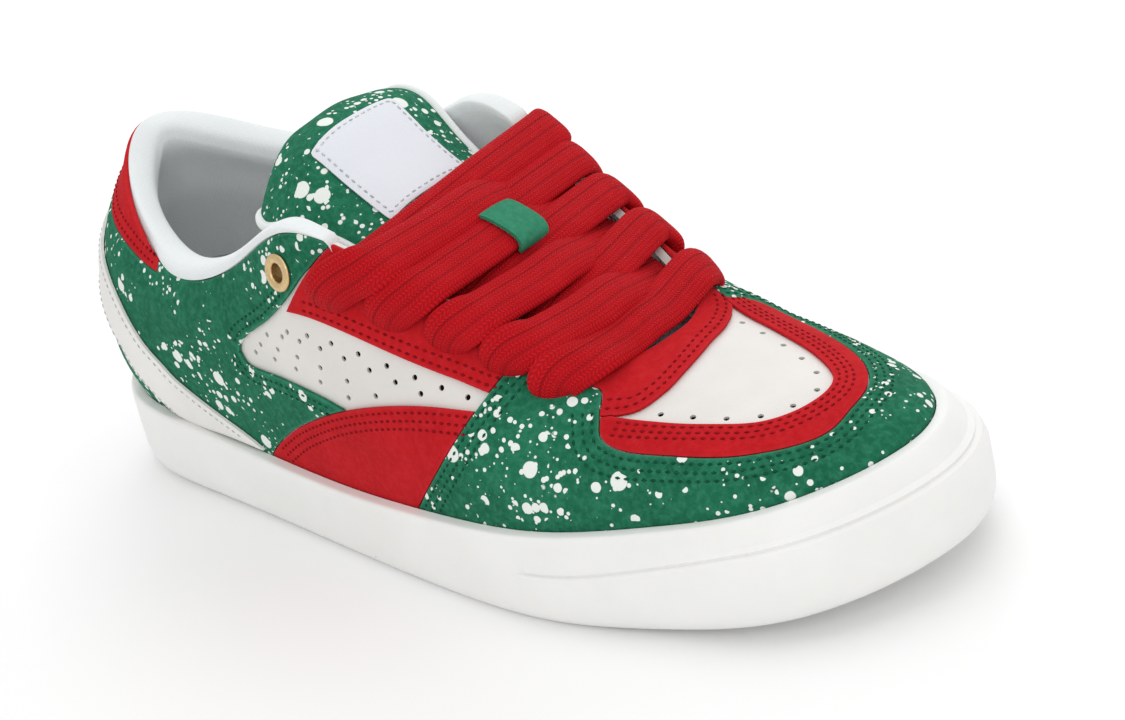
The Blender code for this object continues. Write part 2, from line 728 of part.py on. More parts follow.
def tongue_loop(share):
    top = [tongue_top(share, a) for a in (-1.0, -0.8, -0.5, 0.0, 0.5, 0.8, 1.0)]
    under = []
    for a in (0.85, 0.5, 0.0, -0.5, -0.85):
        depth = tongue_thick(share) * mm * (1 - abs(a) ** 3) ** 0.5
        under.append(tongue_top(share, a, -depth))
    return top + under


tongue_shares = np.linspace(0, 1, 17)
tongue_mesh = ring_solid("tongue", [tongue_loop(s) for s in tongue_shares], closed=False)
tongue = add_object("tongue", tongue_mesh, green_suede, 0.95)

# Woven label, left blank, on the top of the tongue.
label_side = 0.0316
label_thick = 0.0008


def share_at(x):
    """Share of the tongue's length where its top is at x."""
    shares = np.linspace(0, 1, 401)
    return float(np.interp(x, tongue_x(shares) * sole_length, shares))


def strip_on_tongue(name, first, last, half, low, high, count=7):
    loops = []
    for x in np.linspace(first, last, count):
        share = share_at(x)
        reach = half / (tongue_half(share) * ball_width)
        places = np.linspace(-reach, reach, 7)
        lower = [tongue_top(share, a, low) for a in places]
        upper_side = [tongue_top(share, a, high) for a in places[::-1]]
        loops.append(lower + upper_side)
    return ring_solid(name, loops, closed=False)


label_first = 0.3900 * sole_length
label_run = label_side * math.cos(math.radians(31.6))
label_mesh = strip_on_tongue(
    "tongue_label", label_first, label_first + label_run, label_side / 2, gap, gap + label_thick
)
tongue_label = add_object("tongue_label", label_mesh, (0.80, 0.81, 0.84), 0.8)

# Metal eyelets in the top corners of the quarters, and the holes that take their barrels.
eyelet_u = 4.73
eyelet_v = 0.885


def turned_ring(name, centre, normal, profile, segments):
    """Ring solid about an axis. The profile is pairs of radius and height along the axis."""
    side = np.cross(normal, (0.0, 0.0, 1.0))
    side /= np.linalg.norm(side)
    other = np.cross(normal, side)
    loops = []
    for k in range(segments):
        turn = 2 * math.pi * k / segments
        out = side * math.cos(turn) + other * math.sin(turn)
        loops.append([centre + out * r + normal * h for r, h in profile])
    return ring_solid(name, loops)


for side, station in (("lateral", eyelet_u), ("medial", 20 - eyelet_u)):
    centre = skin(station, eyelet_v, 0.0)
    normal = upper_normal(station, eyelet_v)
    seat = overlay_high + 0.35 * mm
    hole, outer = eyelet_hole / 2, eyelet_outer / 2
    barrel = hole + 0.6 * mm
    ring = (
        (hole, -upper_wall + 0.3 * mm),
        (hole, seat + 0.7 * mm),
        (hole + 0.5 * mm, seat + 1.1 * mm),
        (outer - 0.6 * mm, seat + 0.9 * mm),
        (outer, seat + 0.3 * mm),
        (outer - 0.1 * mm, seat),
        (barrel, seat),
        (barrel, -upper_wall + 0.3 * mm),
    )
    made = turned_ring("eyelet_" + side, centre, normal, ring, 16)
    add_object("eyelet_" + side, made, eyelet_gold, 0.3, 1.0)
    bore = barrel + gap
    tool = bmesh.new()
    bmesh.ops.create_cone(tool, cap_ends=True, segments=16, radius1=bore, radius2=bore, depth=8 * mm)
    tool_mesh = bpy.data.meshes.new("eyelet_bore_" + side)
    tool.to_mesh(tool_mesh)
    tool.free()
    cutter = wire_cutter("eyelet_bore_" + side, tool_mesh)
    middle = centre + normal * 2.0 * mm
    across = np.cross(normal, (0.0, 0.0, 1.0))
    across /= np.linalg.norm(across)
    third = np.cross(normal, across)
    for i in range(3):
        cutter.matrix_world[i] = (across[i], third[i], normal[i], middle[i])
    for name in ("upper", "quarter_" + side):
        boolean(bpy.data.objects[name], cutter, "DIFFERENCE")

# Laces: flat and wide, crossed over the tongue, each strand joined to its neighbours.
lace_holes = (
    # station u and height v of the laced holes, from the top row to the front
    (5.33, 0.84),
    (5.88, 0.85),
    (6.48, 0.85),
    (7.08, 0.83),
    (7.62, 0.78),
)
lace_clear = 0.0015


def ribbon(name, centres, widths):
    """Flat strand through centre points, its width along the given directions."""
    loops = []
    for i, (centre, width) in enumerate(zip(centres, widths)):
        after = centres[min(i + 1, len(centres) - 1)]
        before = centres[max(i - 1, 0)]
        run = after - before
        run /= np.linalg.norm(run)
        width = width - run * np.dot(width, run)
        width /= np.linalg.norm(width)
        thick = np.cross(run, width)
        half_w, half_t = lace_width / 2, lace_thick / 2
        loop = []
        for a, b in ((-1, 0), (-0.65, 0.9), (0.65, 0.9), (1, 0), (0.65, -0.9), (-0.65, -0.9)):
            loop.append(centre + width * a * half_w + thick * b * half_t)
        loops.append(loop)
    return ring_solid(name, loops, closed=False)


def strand(name, start, end, over, side, lift):
    """One strand from a hole on one side, over the tongue, to a hole on the other."""
    raised = overlay_high + lace_clear + lace_thick / 2
    # At the front hole the surface turns in sharply, so a strand stands further out.
    raised0, raised1 = (raised + (0.8 * mm if hole == 4 else 0.0) for hole in (start, end))
    turn = (lambda u: u) if side < 0 else (lambda u: 20 - u)
    far = (lambda u: 20 - u) if side < 0 else (lambda u: u)
    u0, v0 = lace_holes[start]
    u1, v1 = lace_holes[end]
    # The top row also climbs over the end of the lining's roll.
    climb = 4.8 * mm if start == 0 else 0.0
    near = [
        skin(turn(u0), v, raised0 + climb * rise)
        for v, rise in ((v0 - 0.03, 0.2), (v0 + 0.06, 0.7), ((v0 + 1.1) / 2, 1.0), (1.04, 1.0))
    ]
    share0, share1 = share_at(near[3][0] + 0.002), share_at(skin(far(u1), 1.0)[0])
    path = list(near)
    for across in (-0.72, -0.36, 0.0, 0.36, 0.72 if over else 0.55):
        mix = (across + 1) / 2
        share = share0 + (share1 - share0) * mix
        # A strand on top spans from the edges of the throat, so it stands off the tongue's sides.
        arch = lift * (1 - across * across) + (2.0 * mm + 2.4 * mm * abs(across) if over else 0.0)
        tall = lace_thick / 2 + lace_clear + 0.7 * mm + arch
        place = tongue_top(share, across * -side, tall)
        path.append(place)
    if over:
        path += [skin(far(u1), v, raised1) for v in (1.04, (v1 + 1.1) / 2, v1 + 0.06, v1 - 0.03)]
    # On the eyestay the strand lies flat, and over the tongue its width runs down the slope.
    widths = []
    for i in range(len(path)):
        u = turn(u0) if i < 4 else far(u1)
        level = skin(u + 0.1, 0.95) - skin(u - 0.1, 0.95)
        level /= np.linalg.norm(level) * np.sign(level[0])
        widths.append(level if i < 4 or i > 8 else np.array([1.0, 0.0, -0.45]))
    strand_paths[name] = (path, widths)
    return wire_cutter(name, ribbon(name, path, widths))


strand_paths = {}
strands = [strand("lace_front", 4, 4, True, -1, 0.0015)]
for k in range(4):
    strands.append(strand("lace_under_%d" % k, k, k + 1, False, 1, 0.0012))
    strands.append(strand("lace_over_%d" % k, k, k + 1, False, -1, 0.0045))
laces = add_object("laces", strands[0].data.copy(), lace_red, 0.9)
for other in strands[1:]:
    boolean(laces, other, "UNION")

# Keeper: a suede strap round the top of the second strand, where it crosses the tongue.
keeper_run = 0.0125
keeper_thick = 0.0010
path, widths = strand_paths["lace_over_1"]
middle = path[6]
run = path[7] - path[5]
run /= np.linalg.norm(run)
width = widths[6] - run * np.dot(run, widths[6])
width /= np.linalg.norm(width)
thick = np.cross(run, width)
thick *= np.sign(thick[2])
keeper_shape = ((-0.97, 0.10), (-0.66, 0.96), (0.0, 1.10), (0.66, 0.96), (0.97, 0.10))
keeper_loops = []
for share in (-0.5, -0.25, 0.0, 0.25, 0.5):
    along = (middle + run * share * keeper_run).copy()
    sag = path[6][2] - np.interp(along[1], *zip(*sorted((p[1], p[2]) for p in path[4:9])))
    along[2] = middle[2] - max(sag, 0.0)
    loops = []
    for grow in (1.6 * gap, 1.6 * gap + keeper_thick):
        half_w, half_t = lace_width / 2 + grow, lace_thick / 2 + grow
        loops.append([along + width * a * half_w + thick * b * half_t for a, b in keeper_shape])
    keeper_loops.append(loops[0] + loops[1][::-1])
keeper_mesh = ring_solid("lace_keeper", keeper_loops, closed=False)
lace_keeper = add_object("lace_keeper", keeper_mesh, green_suede, 0.95)

# The origin goes to the middle of the sole's box, on the floor.
corners = [made.matrix_world @ vertex.co for made in (cup_sole,) for vertex in made.data.vertices]
low = np.min(corners, axis=0)
high = np.max(corners, axis=0)
for made in bpy.data.objects:
    made.matrix_world.translation.x -= (low[0] + high[0]) / 2
    made.matrix_world.translation.y -= (low[1] + high[1]) / 2
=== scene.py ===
# Low skateboarding shoe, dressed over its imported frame. Metres, +X towards the toe, +Y the inner side, +Z up.
import math

import bmesh
import bpy
import numpy as np
from mathutils import Matrix, Vector
from mathutils.bvhtree import BVHTree
from mathutils.kdtree import KDTree


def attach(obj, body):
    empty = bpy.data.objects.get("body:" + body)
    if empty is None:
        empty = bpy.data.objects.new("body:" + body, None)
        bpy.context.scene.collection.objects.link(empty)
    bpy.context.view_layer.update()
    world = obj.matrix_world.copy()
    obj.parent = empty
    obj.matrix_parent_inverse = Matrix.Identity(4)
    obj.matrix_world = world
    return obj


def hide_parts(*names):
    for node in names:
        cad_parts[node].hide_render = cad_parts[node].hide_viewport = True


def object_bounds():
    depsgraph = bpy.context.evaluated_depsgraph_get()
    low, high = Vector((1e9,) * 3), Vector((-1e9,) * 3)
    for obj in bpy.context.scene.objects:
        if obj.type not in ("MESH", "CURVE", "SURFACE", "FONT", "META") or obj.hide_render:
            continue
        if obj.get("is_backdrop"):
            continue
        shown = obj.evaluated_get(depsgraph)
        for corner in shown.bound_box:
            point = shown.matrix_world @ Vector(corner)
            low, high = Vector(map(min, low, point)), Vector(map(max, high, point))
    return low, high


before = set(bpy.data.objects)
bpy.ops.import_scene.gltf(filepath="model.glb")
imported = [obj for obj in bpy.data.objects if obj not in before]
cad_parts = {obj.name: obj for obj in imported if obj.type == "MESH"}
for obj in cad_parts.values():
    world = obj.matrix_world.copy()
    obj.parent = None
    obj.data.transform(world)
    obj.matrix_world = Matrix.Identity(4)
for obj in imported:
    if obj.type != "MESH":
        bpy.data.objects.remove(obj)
cadLow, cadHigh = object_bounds()
mm = 0.001

shoe = {
    "length": 0.300,
    "ballWidth": 0.108,
    "collarHeight": 0.097,
    "wallHeight": 0.030,
    "toeSpring": 0.011,
    "upperWall": 0.0022,
    "overlayWall": 0.0012,
    "gap": 0.0003,
    "rimWidth": 0.0034,
    "cupFloorHeel": 0.0130,
    "cupFloorToe": 0.0095,
    "insoleThick": 0.0045,
    "middle": (0.15007, -0.00189, 0.0),  # middle of the sole's box, where the frame has its origin
}

# Camera at the photo's angle, and soft studio light
cameraFit = {
    "azimuth": 47.38,
    "elevation": 25.45,
    "distance": 0.6478,
    "target": (0.1651, 0.0112, 0.0355),
    "lens": 75.05,
    "roll": -15.008,
}


def makeCamera():
    a, e, roll = (math.radians(cameraFit[k]) for k in ("azimuth", "elevation", "roll"))
    back = Vector((math.sin(a) * math.cos(e), -math.cos(a) * math.cos(e), math.sin(e)))
    level = (-back).cross(Vector((0, 0, 1))).normalized()
    upright = level.cross(-back)
    right = level * math.cos(roll) + upright * math.sin(roll)
    up = upright * math.cos(roll) - level * math.sin(roll)
    data = bpy.data.cameras.new("photoView")
    data.lens = cameraFit["lens"]
    data.sensor_width = 36
    data.clip_start = 0.01
    camera = bpy.data.objects.new("photoView", data)
    bpy.context.scene.collection.objects.link(camera)
    place = Vector(cameraFit["target"]) - Vector(shoe["middle"]) + back * cameraFit["distance"]
    turn = Matrix((right, up, back)).transposed()
    camera.matrix_world = Matrix.Translation(place) @ turn.to_4x4()
    bpy.context.scene.camera = camera


studio = {
    # name: place, size, watts, colour
    "topSoftbox": ((0.15, 0.25, 1.15), 1.1, 3.0, (1.0, 0.99, 0.97)),
    "frontSoftbox": ((0.75, -0.85, 0.75), 0.8, 2.6, (1.0, 1.0, 1.0)),
    "rimSoftbox": ((-0.55, 0.75, 0.65), 0.7, 2.5, (0.96, 0.98, 1.0)),
}


def makeStudio():
    for name, (place, size, watts, colour) in studio.items():
        data = bpy.data.lights.new(name, "AREA")
        data.size = size
        data.energy = watts
        data.color = colour
        light = bpy.data.objects.new(name, data)
        bpy.context.scene.collection.objects.link(light)
        light.location = place
        light.rotation_euler = (-Vector(place)).to_track_quat("-Z", "Y").to_euler()
    world = bpy.data.worlds.new("studioWorld")
    world.use_nodes = True
    world.node_tree.nodes["Background"].inputs["Color"].default_value = (1, 1, 1, 1)
    world.node_tree.nodes["Background"].inputs["Strength"].default_value = 0.80
    bpy.context.scene.world = world
    bpy.context.scene.view_settings.view_transform = "Standard"
    bpy.context.scene.view_settings.look = "None"


makeCamera()
makeStudio()
print("camera and lights")


# The last: the same two functions as in the part, read from station tables.
# Stations round the shoe: 0 heel, 1 to 9 outer side, 10 toe, 11 to 19 inner side.
soleStations = (
    # x of length, y of ball width, wall, rim inset, foot inset
    (0.000, 0.000, 0.97, 0.25, 0.83),
    (0.024, -0.199, 0.95, 0.19, 0.93),
    (0.087, -0.333, 0.88, 0.08, 1.07),
    (0.190, -0.380, 0.80, 0.04, 1.00),
    (0.310, -0.417, 0.75, 0.00, 0.80),
    (0.440, -0.463, 0.73, 0.00, 0.67),
    (0.570, -0.505, 0.78, 0.12, 0.67),
    (0.690, -0.519, 0.85, 0.32, 1.00),
    (0.808, -0.463, 0.93, 0.65, 1.20),
    (0.928, -0.329, 1.00, 0.85, 0.87),
    (1.000, 0.005, 1.02, 0.95, 0.80),
    (0.953, 0.301, 1.02, 0.95, 0.80),
    (0.852, 0.444, 0.95, 0.65, 0.80),
    (0.730, 0.481, 0.88, 0.40, 0.73),
    (0.600, 0.449, 0.83, 0.25, 0.67),
    (0.470, 0.394, 0.82, 0.18, 0.67),
    (0.340, 0.370, 0.83, 0.15, 0.73),
    (0.205, 0.375, 0.88, 0.15, 0.87),
    (0.090, 0.329, 0.95, 0.20, 0.93),
    (0.024, 0.194, 0.97, 0.22, 0.87),
)
upperStations = (
    # edge x, y, z, low out, low up, high out, high drop
    (0.067, 0.000, 1.000, 0.08, 0.31, 0.09, 0.19),
    (0.083, -0.111, 0.928, 0.09, 0.31, 0.10, 0.16),
    (0.137, -0.227, 0.851, 0.08, 0.22, 0.11, 0.15),
    (0.240, -0.333, 0.763, 0.04, 0.21, 0.06, 0.19),
    (0.353, -0.352, 0.866, 0.02, 0.25, 0.07, 0.25),
    (0.447, -0.361, 0.990, 0.01, 0.27, 0.09, 0.31),
    (0.543, -0.306, 0.856, 0.01, 0.24, 0.10, 0.23),
    (0.620, -0.250, 0.722, 0.01, 0.20, 0.09, 0.165),
    (0.687, -0.194, 0.608, 0.01, 0.125, 0.125, 0.093),
    (0.717, -0.093, 0.567, 0.01, 0.082, 0.26, 0.062),
    (0.723, 0.019, 0.562, 0.01, 0.072, 0.29, 0.062),
    (0.720, 0.111, 0.562, 0.01, 0.062, 0.206, 0.062),
    (0.690, 0.222, 0.598, 0.01, 0.082, 0.103, 0.093),
    (0.620, 0.287, 0.722, 0.01, 0.165, 0.072, 0.165),
    (0.543, 0.333, 0.856, 0.01, 0.227, 0.082, 0.227),
    (0.447, 0.370, 1.010, 0.01, 0.27, 0.072, 0.31),
    (0.353, 0.352, 0.907, 0.02, 0.25, 0.062, 0.25),
    (0.233, 0.324, 0.835, 0.04, 0.21, 0.055, 0.19),
    (0.140, 0.222, 0.928, 0.07, 0.25, 0.08, 0.165),
    (0.083, 0.120, 1.000, 0.08, 0.31, 0.08, 0.17),
)
last = {"rimUnit": 0.008, "footUnit": 0.003}


def closedSpline(values):
    values = np.asarray(values, float)
    count = len(values)
    system = 4 * np.eye(count) + np.roll(np.eye(count), 1, 0) + np.roll(np.eye(count), -1, 0)
    slope = np.linalg.solve(system, 3 * (np.roll(values, -1) - np.roll(values, 1)))

    def read(u):
        u = np.mod(np.asarray(u, float), count)
        i = np.floor(u).astype(int) % count
        t = u - np.floor(u)
        j = (i + 1) % count
        start = values[i] * (1 + 2 * t) * (1 - t) ** 2 + slope[i] * t * (1 - t) ** 2
        return start + values[j] * t * t * (3 - 2 * t) + slope[j] * t * t * (t - 1)

    return read


def openSpline(values):
    values = np.asarray(values, float)
    top = len(values) - 1
    slope = np.gradient(values)

    def read(share):
        s = np.clip(np.asarray(share, float), 0, 1) * top
        i = np.minimum(np.floor(s).astype(int), top - 1)
        t = s - i
        start = values[i] * (1 + 2 * t) * (1 - t) ** 2 + slope[i] * t * (1 - t) ** 2
        return start + values[i + 1] * t * t * (3 - 2 * t) + slope[i + 1] * t * t * (t - 1)

    return read


soleX, soleY, soleWall, rimInset, footInset = (closedSpline(c) for c in zip(*soleStations))
edgeX, edgeY, edgeZ, lowOut, lowUp, highOut, highDrop = (closedSpline(c) for c in zip(*upperStations))


def ease(x):
    x = np.clip(x, 0, 1)
    return x * x * (3 - 2 * x)


def spring(x):
    return shoe["toeSpring"] * np.clip((x / shoe["length"] - 0.66) / 0.34, 0, 1) ** 2.2


def outline(u, inset=0.0):
    x, y = soleX(u) * shoe["length"], soleY(u) * shoe["ballWidth"]
    step = 1e-3
    tx = (soleX(u + step) - soleX(u - step)) * shoe["length"]
    ty = (soleY(u + step) - soleY(u - step)) * shoe["ballWidth"]
    size = np.hypot(tx, ty)
    nx, ny = ty / size, -tx / size
    return x - nx * inset, y - ny * inset, nx, ny


def wallTop(u):
    return soleWall(u) * shoe["wallHeight"] + 0.7 * spring(soleX(u) * shoe["length"])


def floorZ(x):
    rise = shoe["cupFloorToe"] - shoe["cupFloorHeel"]
    return shoe["cupFloorHeel"] + rise * ease((x / shoe["length"] - 0.25) / 0.45) + spring(x)


def upperPoint(u, v):  # v is 0 at the sole line, 1 at the opening, -1 on the cup floor
    u, v = np.broadcast_arrays(np.asarray(u, float), np.asarray(v, float))
    inset = rimInset(u) * last["rimUnit"] + shoe["rimWidth"] + shoe["overlayWall"] + 2 * shoe["gap"]
    x, y, nx, ny = outline(u, inset)
    foot = np.stack([x, y, wallTop(u)], -1)
    edge = np.stack(
        [edgeX(u) * shoe["length"], edgeY(u) * shoe["ballWidth"], edgeZ(u) * shoe["collarHeight"]], -1
    )
    out = np.stack([nx, ny, 0 * nx], -1)
    up = np.array([0, 0, 1.0])
    low = foot + (out * lowOut(u)[..., None] + up * lowUp(u)[..., None]) * shoe["collarHeight"]
    high = edge + (out * highOut(u)[..., None] - up * highDrop(u)[..., None]) * shoe["collarHeight"]
    w = np.clip(v, 0, 1)[..., None]
    point = foot * (1 - w) ** 3 + 3 * low * w * (1 - w) ** 2 + 3 * high * w * w * (1 - w) + edge * w**3
    point = point + np.clip(v - 1, 0, 1)[..., None] * 3 * (edge - high)
    drop = (wallTop(u) - floorZ(x) - shoe["gap"])[..., None]
    return point - np.clip(-v, 0, 1.5)[..., None] * (up * drop + out * 1.0 * mm)


def upperNormal(u, v):
    step = 1e-3
    u, v = np.broadcast_arrays(np.asarray(u, float), np.asarray(v, float))
    v = np.where(v < 0.004, 0.004, np.minimum(v, 0.998))
    normal = np.cross(
        upperPoint(u + step, v) - upperPoint(u - step, v), upperPoint(u, v + step) - upperPoint(u, v - step)
    )
    return normal / np.linalg.norm(normal, axis=-1, keepdims=True)


# Soft troughs and ridges of a worn-in shape, given one by one
creases = (
    # station, height, half length, half height, slant, depth in mm (a trough is minus)
    (7.55, 0.42, 0.75, 0.055, 0.16, -0.55),
    (7.95, 0.30, 0.60, 0.050, 0.12, 0.35),
    (6.90, 0.30, 0.45, 0.060, 0.10, -0.35),
    (12.6, 0.40, 0.70, 0.055, -0.16, -0.50),
    (12.2, 0.28, 0.60, 0.050, -0.12, 0.30),
    (9.70, 0.62, 0.80, 0.045, 0.02, -0.40),
    (10.6, 0.74, 0.70, 0.040, -0.02, 0.30),
    (9.20, 0.74, 0.55, 0.035, 0.03, -0.30),
    (2.30, 0.34, 0.70, 0.060, 0.08, -0.45),
    (1.30, 0.62, 0.60, 0.060, -0.05, 0.40),
    (17.8, 0.36, 0.70, 0.060, -0.08, -0.45),
    (3.60, 0.60, 0.45, 0.070, 0.20, -0.40),
    (4.60, 0.62, 0.60, 0.080, -0.10, 0.45),
    (16.3, 0.60, 0.60, 0.080, 0.10, -0.35),
    (5.00, 0.16, 0.80, 0.050, 0.05, -0.30),
)
padding = {"swell": 1.3 * mm, "height": 0.80, "spread": 0.13, "end": 4.6, "fade": 1.2}


def relief(u, v):
    u = np.mod(u, 20)
    total = 0 * u + 0 * v
    for station, height, halfLong, halfHigh, slant, depth in creases:
        along = (u - station) / halfLong
        across = (v - height - slant * (u - station)) / halfHigh
        total = total + depth * mm * np.exp(-(along**2) - across**2)
    # The collar's foam swells the quarters below the edge
    side = np.minimum(u, 20 - u)
    swell = np.exp(-(((v - padding["height"]) / padding["spread"]) ** 2))
    swell = swell * ease((padding["end"] - side) / padding["fade"])
    return (total + padding["swell"] * swell) * ease(v / 0.12) * ease((1.0 - v) / 0.10)


def skin(u, v, offset=0.0, withRelief=True):
    u, v = np.broadcast_arrays(np.asarray(u, float), np.asarray(v, float))
    normal = upperNormal(u, v)
    level = normal * np.array([1, 1, 0])
    level /= np.linalg.norm(level, axis=-1, keepdims=True)
    normal = np.where((v < 0)[..., None], level, normal)
    lift = np.broadcast_to(np.asarray(offset, float), u.shape)
    if withRelief:
        lift = lift + relief(u, v)
    return upperPoint(u, v) + normal * lift[..., None]


# Mesh helpers
def gridFaces(count, size, ring, loop=True):
    rows, lines = np.arange(count if ring else count - 1), np.arange(size if loop else size - 1)
    i, k = np.meshgrid(rows, lines, indexing="ij")
    j, n = (i + 1) % count, (k + 1) % size
    return np.stack([i * size + k, j * size + k, j * size + n, i * size + n], -1).reshape(-1, 4).tolist()


def meshFrom(name, points, faces, edges=(), sharp=40):
    mesh = bpy.data.meshes.new(name)
    points = np.asarray(points, float).reshape(-1, 3) - np.array(shoe["middle"])
    mesh.from_pydata(points.tolist(), list(edges), faces)
    if faces:
        work = bmesh.new()
        work.from_mesh(mesh)
        bmesh.ops.recalc_face_normals(work, faces=work.faces)
        if work.calc_volume(signed=True) < 0:
            bmesh.ops.reverse_faces(work, faces=work.faces[:])
        work.to_mesh(mesh)
        work.free()
    mesh.update()
    if faces:
        mesh.shade_smooth()
        mesh.set_sharp_from_angle(angle=math.radians(sharp))
    return mesh


def ringSolid(name, loops, ring=True, sharp=40):
    loops = np.asarray(loops)
    count, size = loops.shape[:2]
    faces = gridFaces(count, size, ring)
    if not ring:
        faces += [tuple(range(size)), tuple((count - 1) * size + k for k in range(size))]
    return meshFrom(name, loops, faces, sharp=sharp)


def traySolid(name, loops, sharp=40):  # its first and last outlines are filled by strips from side to side
    loops = np.asarray(loops)
    count, size = loops.shape[:2]
    faces = gridFaces(count, size, True, loop=False)
    for k in (0, size - 1):
        for i in range(count // 2):
            ringOf = [i, i + 1, (count - i - 1) % count, (count - i) % count]
            faces.append(tuple(r * size + k for r in dict.fromkeys(ringOf)))
    return meshFrom(name, loops, faces, sharp=sharp)


def addObject(name, mesh, *finishes):
    made = bpy.data.objects.new(name, mesh)
    bpy.context.scene.collection.objects.link(made)
    if finishes:
        mesh.materials.clear()
    for finish in finishes:
        mesh.materials.append(finish)
    return made


def addCutter(name, mesh):
    made = addObject(name, mesh)
    made.hide_render = True
    made.display_type = "WIRE"
    return made


def dress(made, node):  # the piece stands for its CAD node
    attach(made, "root")
    if node:
        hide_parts(node)
    return made


def settle(made):  # the modifiers' result becomes the object's own mesh
    graph = bpy.context.evaluated_depsgraph_get()
    mesh = bpy.data.meshes.new_from_object(made.evaluated_get(graph))
    made.modifiers.clear()
    made.data = mesh
    return made


def cut(made, cutter, operation):
    step = made.modifiers.new(operation.title(), "BOOLEAN")
    step.object = cutter
    step.operation = operation
    step.solver = "MANIFOLD"


# Node helpers
def newMaterial(name):
    made = bpy.data.materials.new(name)
    made.use_nodes = True
    tree = made.node_tree
    return made, tree, tree.nodes["Principled BSDF"]


def fill(tree, made, inputs):  # links the sockets given, and sets the plain values
    for key, value in inputs.items():
        if isinstance(value, bpy.types.NodeSocket):
            tree.links.new(value, made.inputs[key])
        else:
            made.inputs[key].default_value = value


def node(tree, kind, inputs=None, **settings):
    made = tree.nodes.new(kind)
    for key, value in settings.items():
        setattr(made, key, value)
    fill(tree, made, inputs or {})
    return made


def maths(tree, operation, a, b=None):
    inputs = {0: a} if b is None else {0: a, 1: b}
    return node(tree, "ShaderNodeMath", inputs, operation=operation).outputs[0]


def ramp(tree, value, low, high, fromLow=0.0, fromHigh=1.0):
    made = node(
        tree, "ShaderNodeMapRange",
        {"Value": value, "From Min": fromLow, "From Max": fromHigh, "To Min": low, "To Max": high},
    )
    return made.outputs["Result"]


def mixColour(tree, share, first, second):
    made = node(tree, "ShaderNodeMix", {0: share}, data_type="RGBA")
    for key, value in (("A", first), ("B", second)):
        socket = [s for s in made.inputs if s.name == key and s.type == "RGBA"][0]
        if isinstance(value, bpy.types.NodeSocket):
            tree.links.new(value, socket)
        else:
            socket.default_value = (*value, 1)
    return [s for s in made.outputs if s.type == "RGBA"][0]


def noise(tree, coords, scale, detail=3.0, roughness=0.55, distortion=0.0):
    inputs = {"Vector": coords, "Scale": scale, "Detail": detail, "Roughness": roughness}
    return node(tree, "ShaderNodeTexNoise", {**inputs, "Distortion": distortion}).outputs["Fac"]


def bump(tree, height, strength, distance, normal=None):
    inputs = {"Height": height, "Strength": strength, "Distance": distance}
    if normal:
        inputs["Normal"] = normal
    return node(tree, "ShaderNodeBump", inputs).outputs["Normal"]


def objectCoords(tree):
    return node(tree, "ShaderNodeTexCoord").outputs["Object"]


# Finishes
suedeLook = {"napScale": 1500.0, "fuzzScale": 520.0, "shadeScale": 60.0, "roughness": 0.93, "sheen": 0.14}
splatter = {
    # cell in mm, largest dot as share of the cell, share of cells with a dot
    "layers": ((6.2, 0.31, 0.36), (3.4, 0.36, 0.40), (1.9, 0.36, 0.34)),
    "clusterScale": 58.0,
    "wobbleScale": 420.0,
    "wobble": 0.5 * mm,
    "colour": (0.80, 0.84, 0.80),
    "roughness": 0.62,
}


def splatterMask(tree, coords):
    clusters = noise(tree, coords, splatter["clusterScale"], 2.0, 0.5)
    wobble = node(
        tree, "ShaderNodeTexNoise", {"Vector": coords, "Scale": splatter["wobbleScale"], "Detail": 2.0}
    )
    shift = node(
        tree, "ShaderNodeVectorMath", {0: wobble.outputs["Color"], 1: (splatter["wobble"],) * 3},
        operation="MULTIPLY",
    )
    moved = node(tree, "ShaderNodeVectorMath", {0: coords, 1: shift.outputs[0]}, operation="ADD").outputs[0]
    total = None
    for cell, largest, share in splatter["layers"]:
        spots = node(tree, "ShaderNodeTexVoronoi", {"Vector": moved, "Scale": 1000.0 / cell})
        luck = node(tree, "ShaderNodeSeparateColor", {"Color": spots.outputs["Color"]})
        size = maths(tree, "MULTIPLY", maths(tree, "POWER", luck.outputs[0], 2.0), largest)
        size = maths(tree, "ADD", size, 0.10)
        reach = maths(tree, "SUBTRACT", size, spots.outputs["Distance"])
        dot = ramp(tree, reach, 0.0, 1.0, 0.0, 0.03)
        wanted = maths(tree, "ADD", luck.outputs[1], ramp(tree, clusters, -0.36, 0.72, 0.36, 0.66))
        chosen = maths(tree, "GREATER_THAN", wanted, 1.0 - share)
        layer = maths(tree, "MULTIPLY", dot, chosen)
        total = layer if total is None else maths(tree, "MAXIMUM", total, layer)
    return total


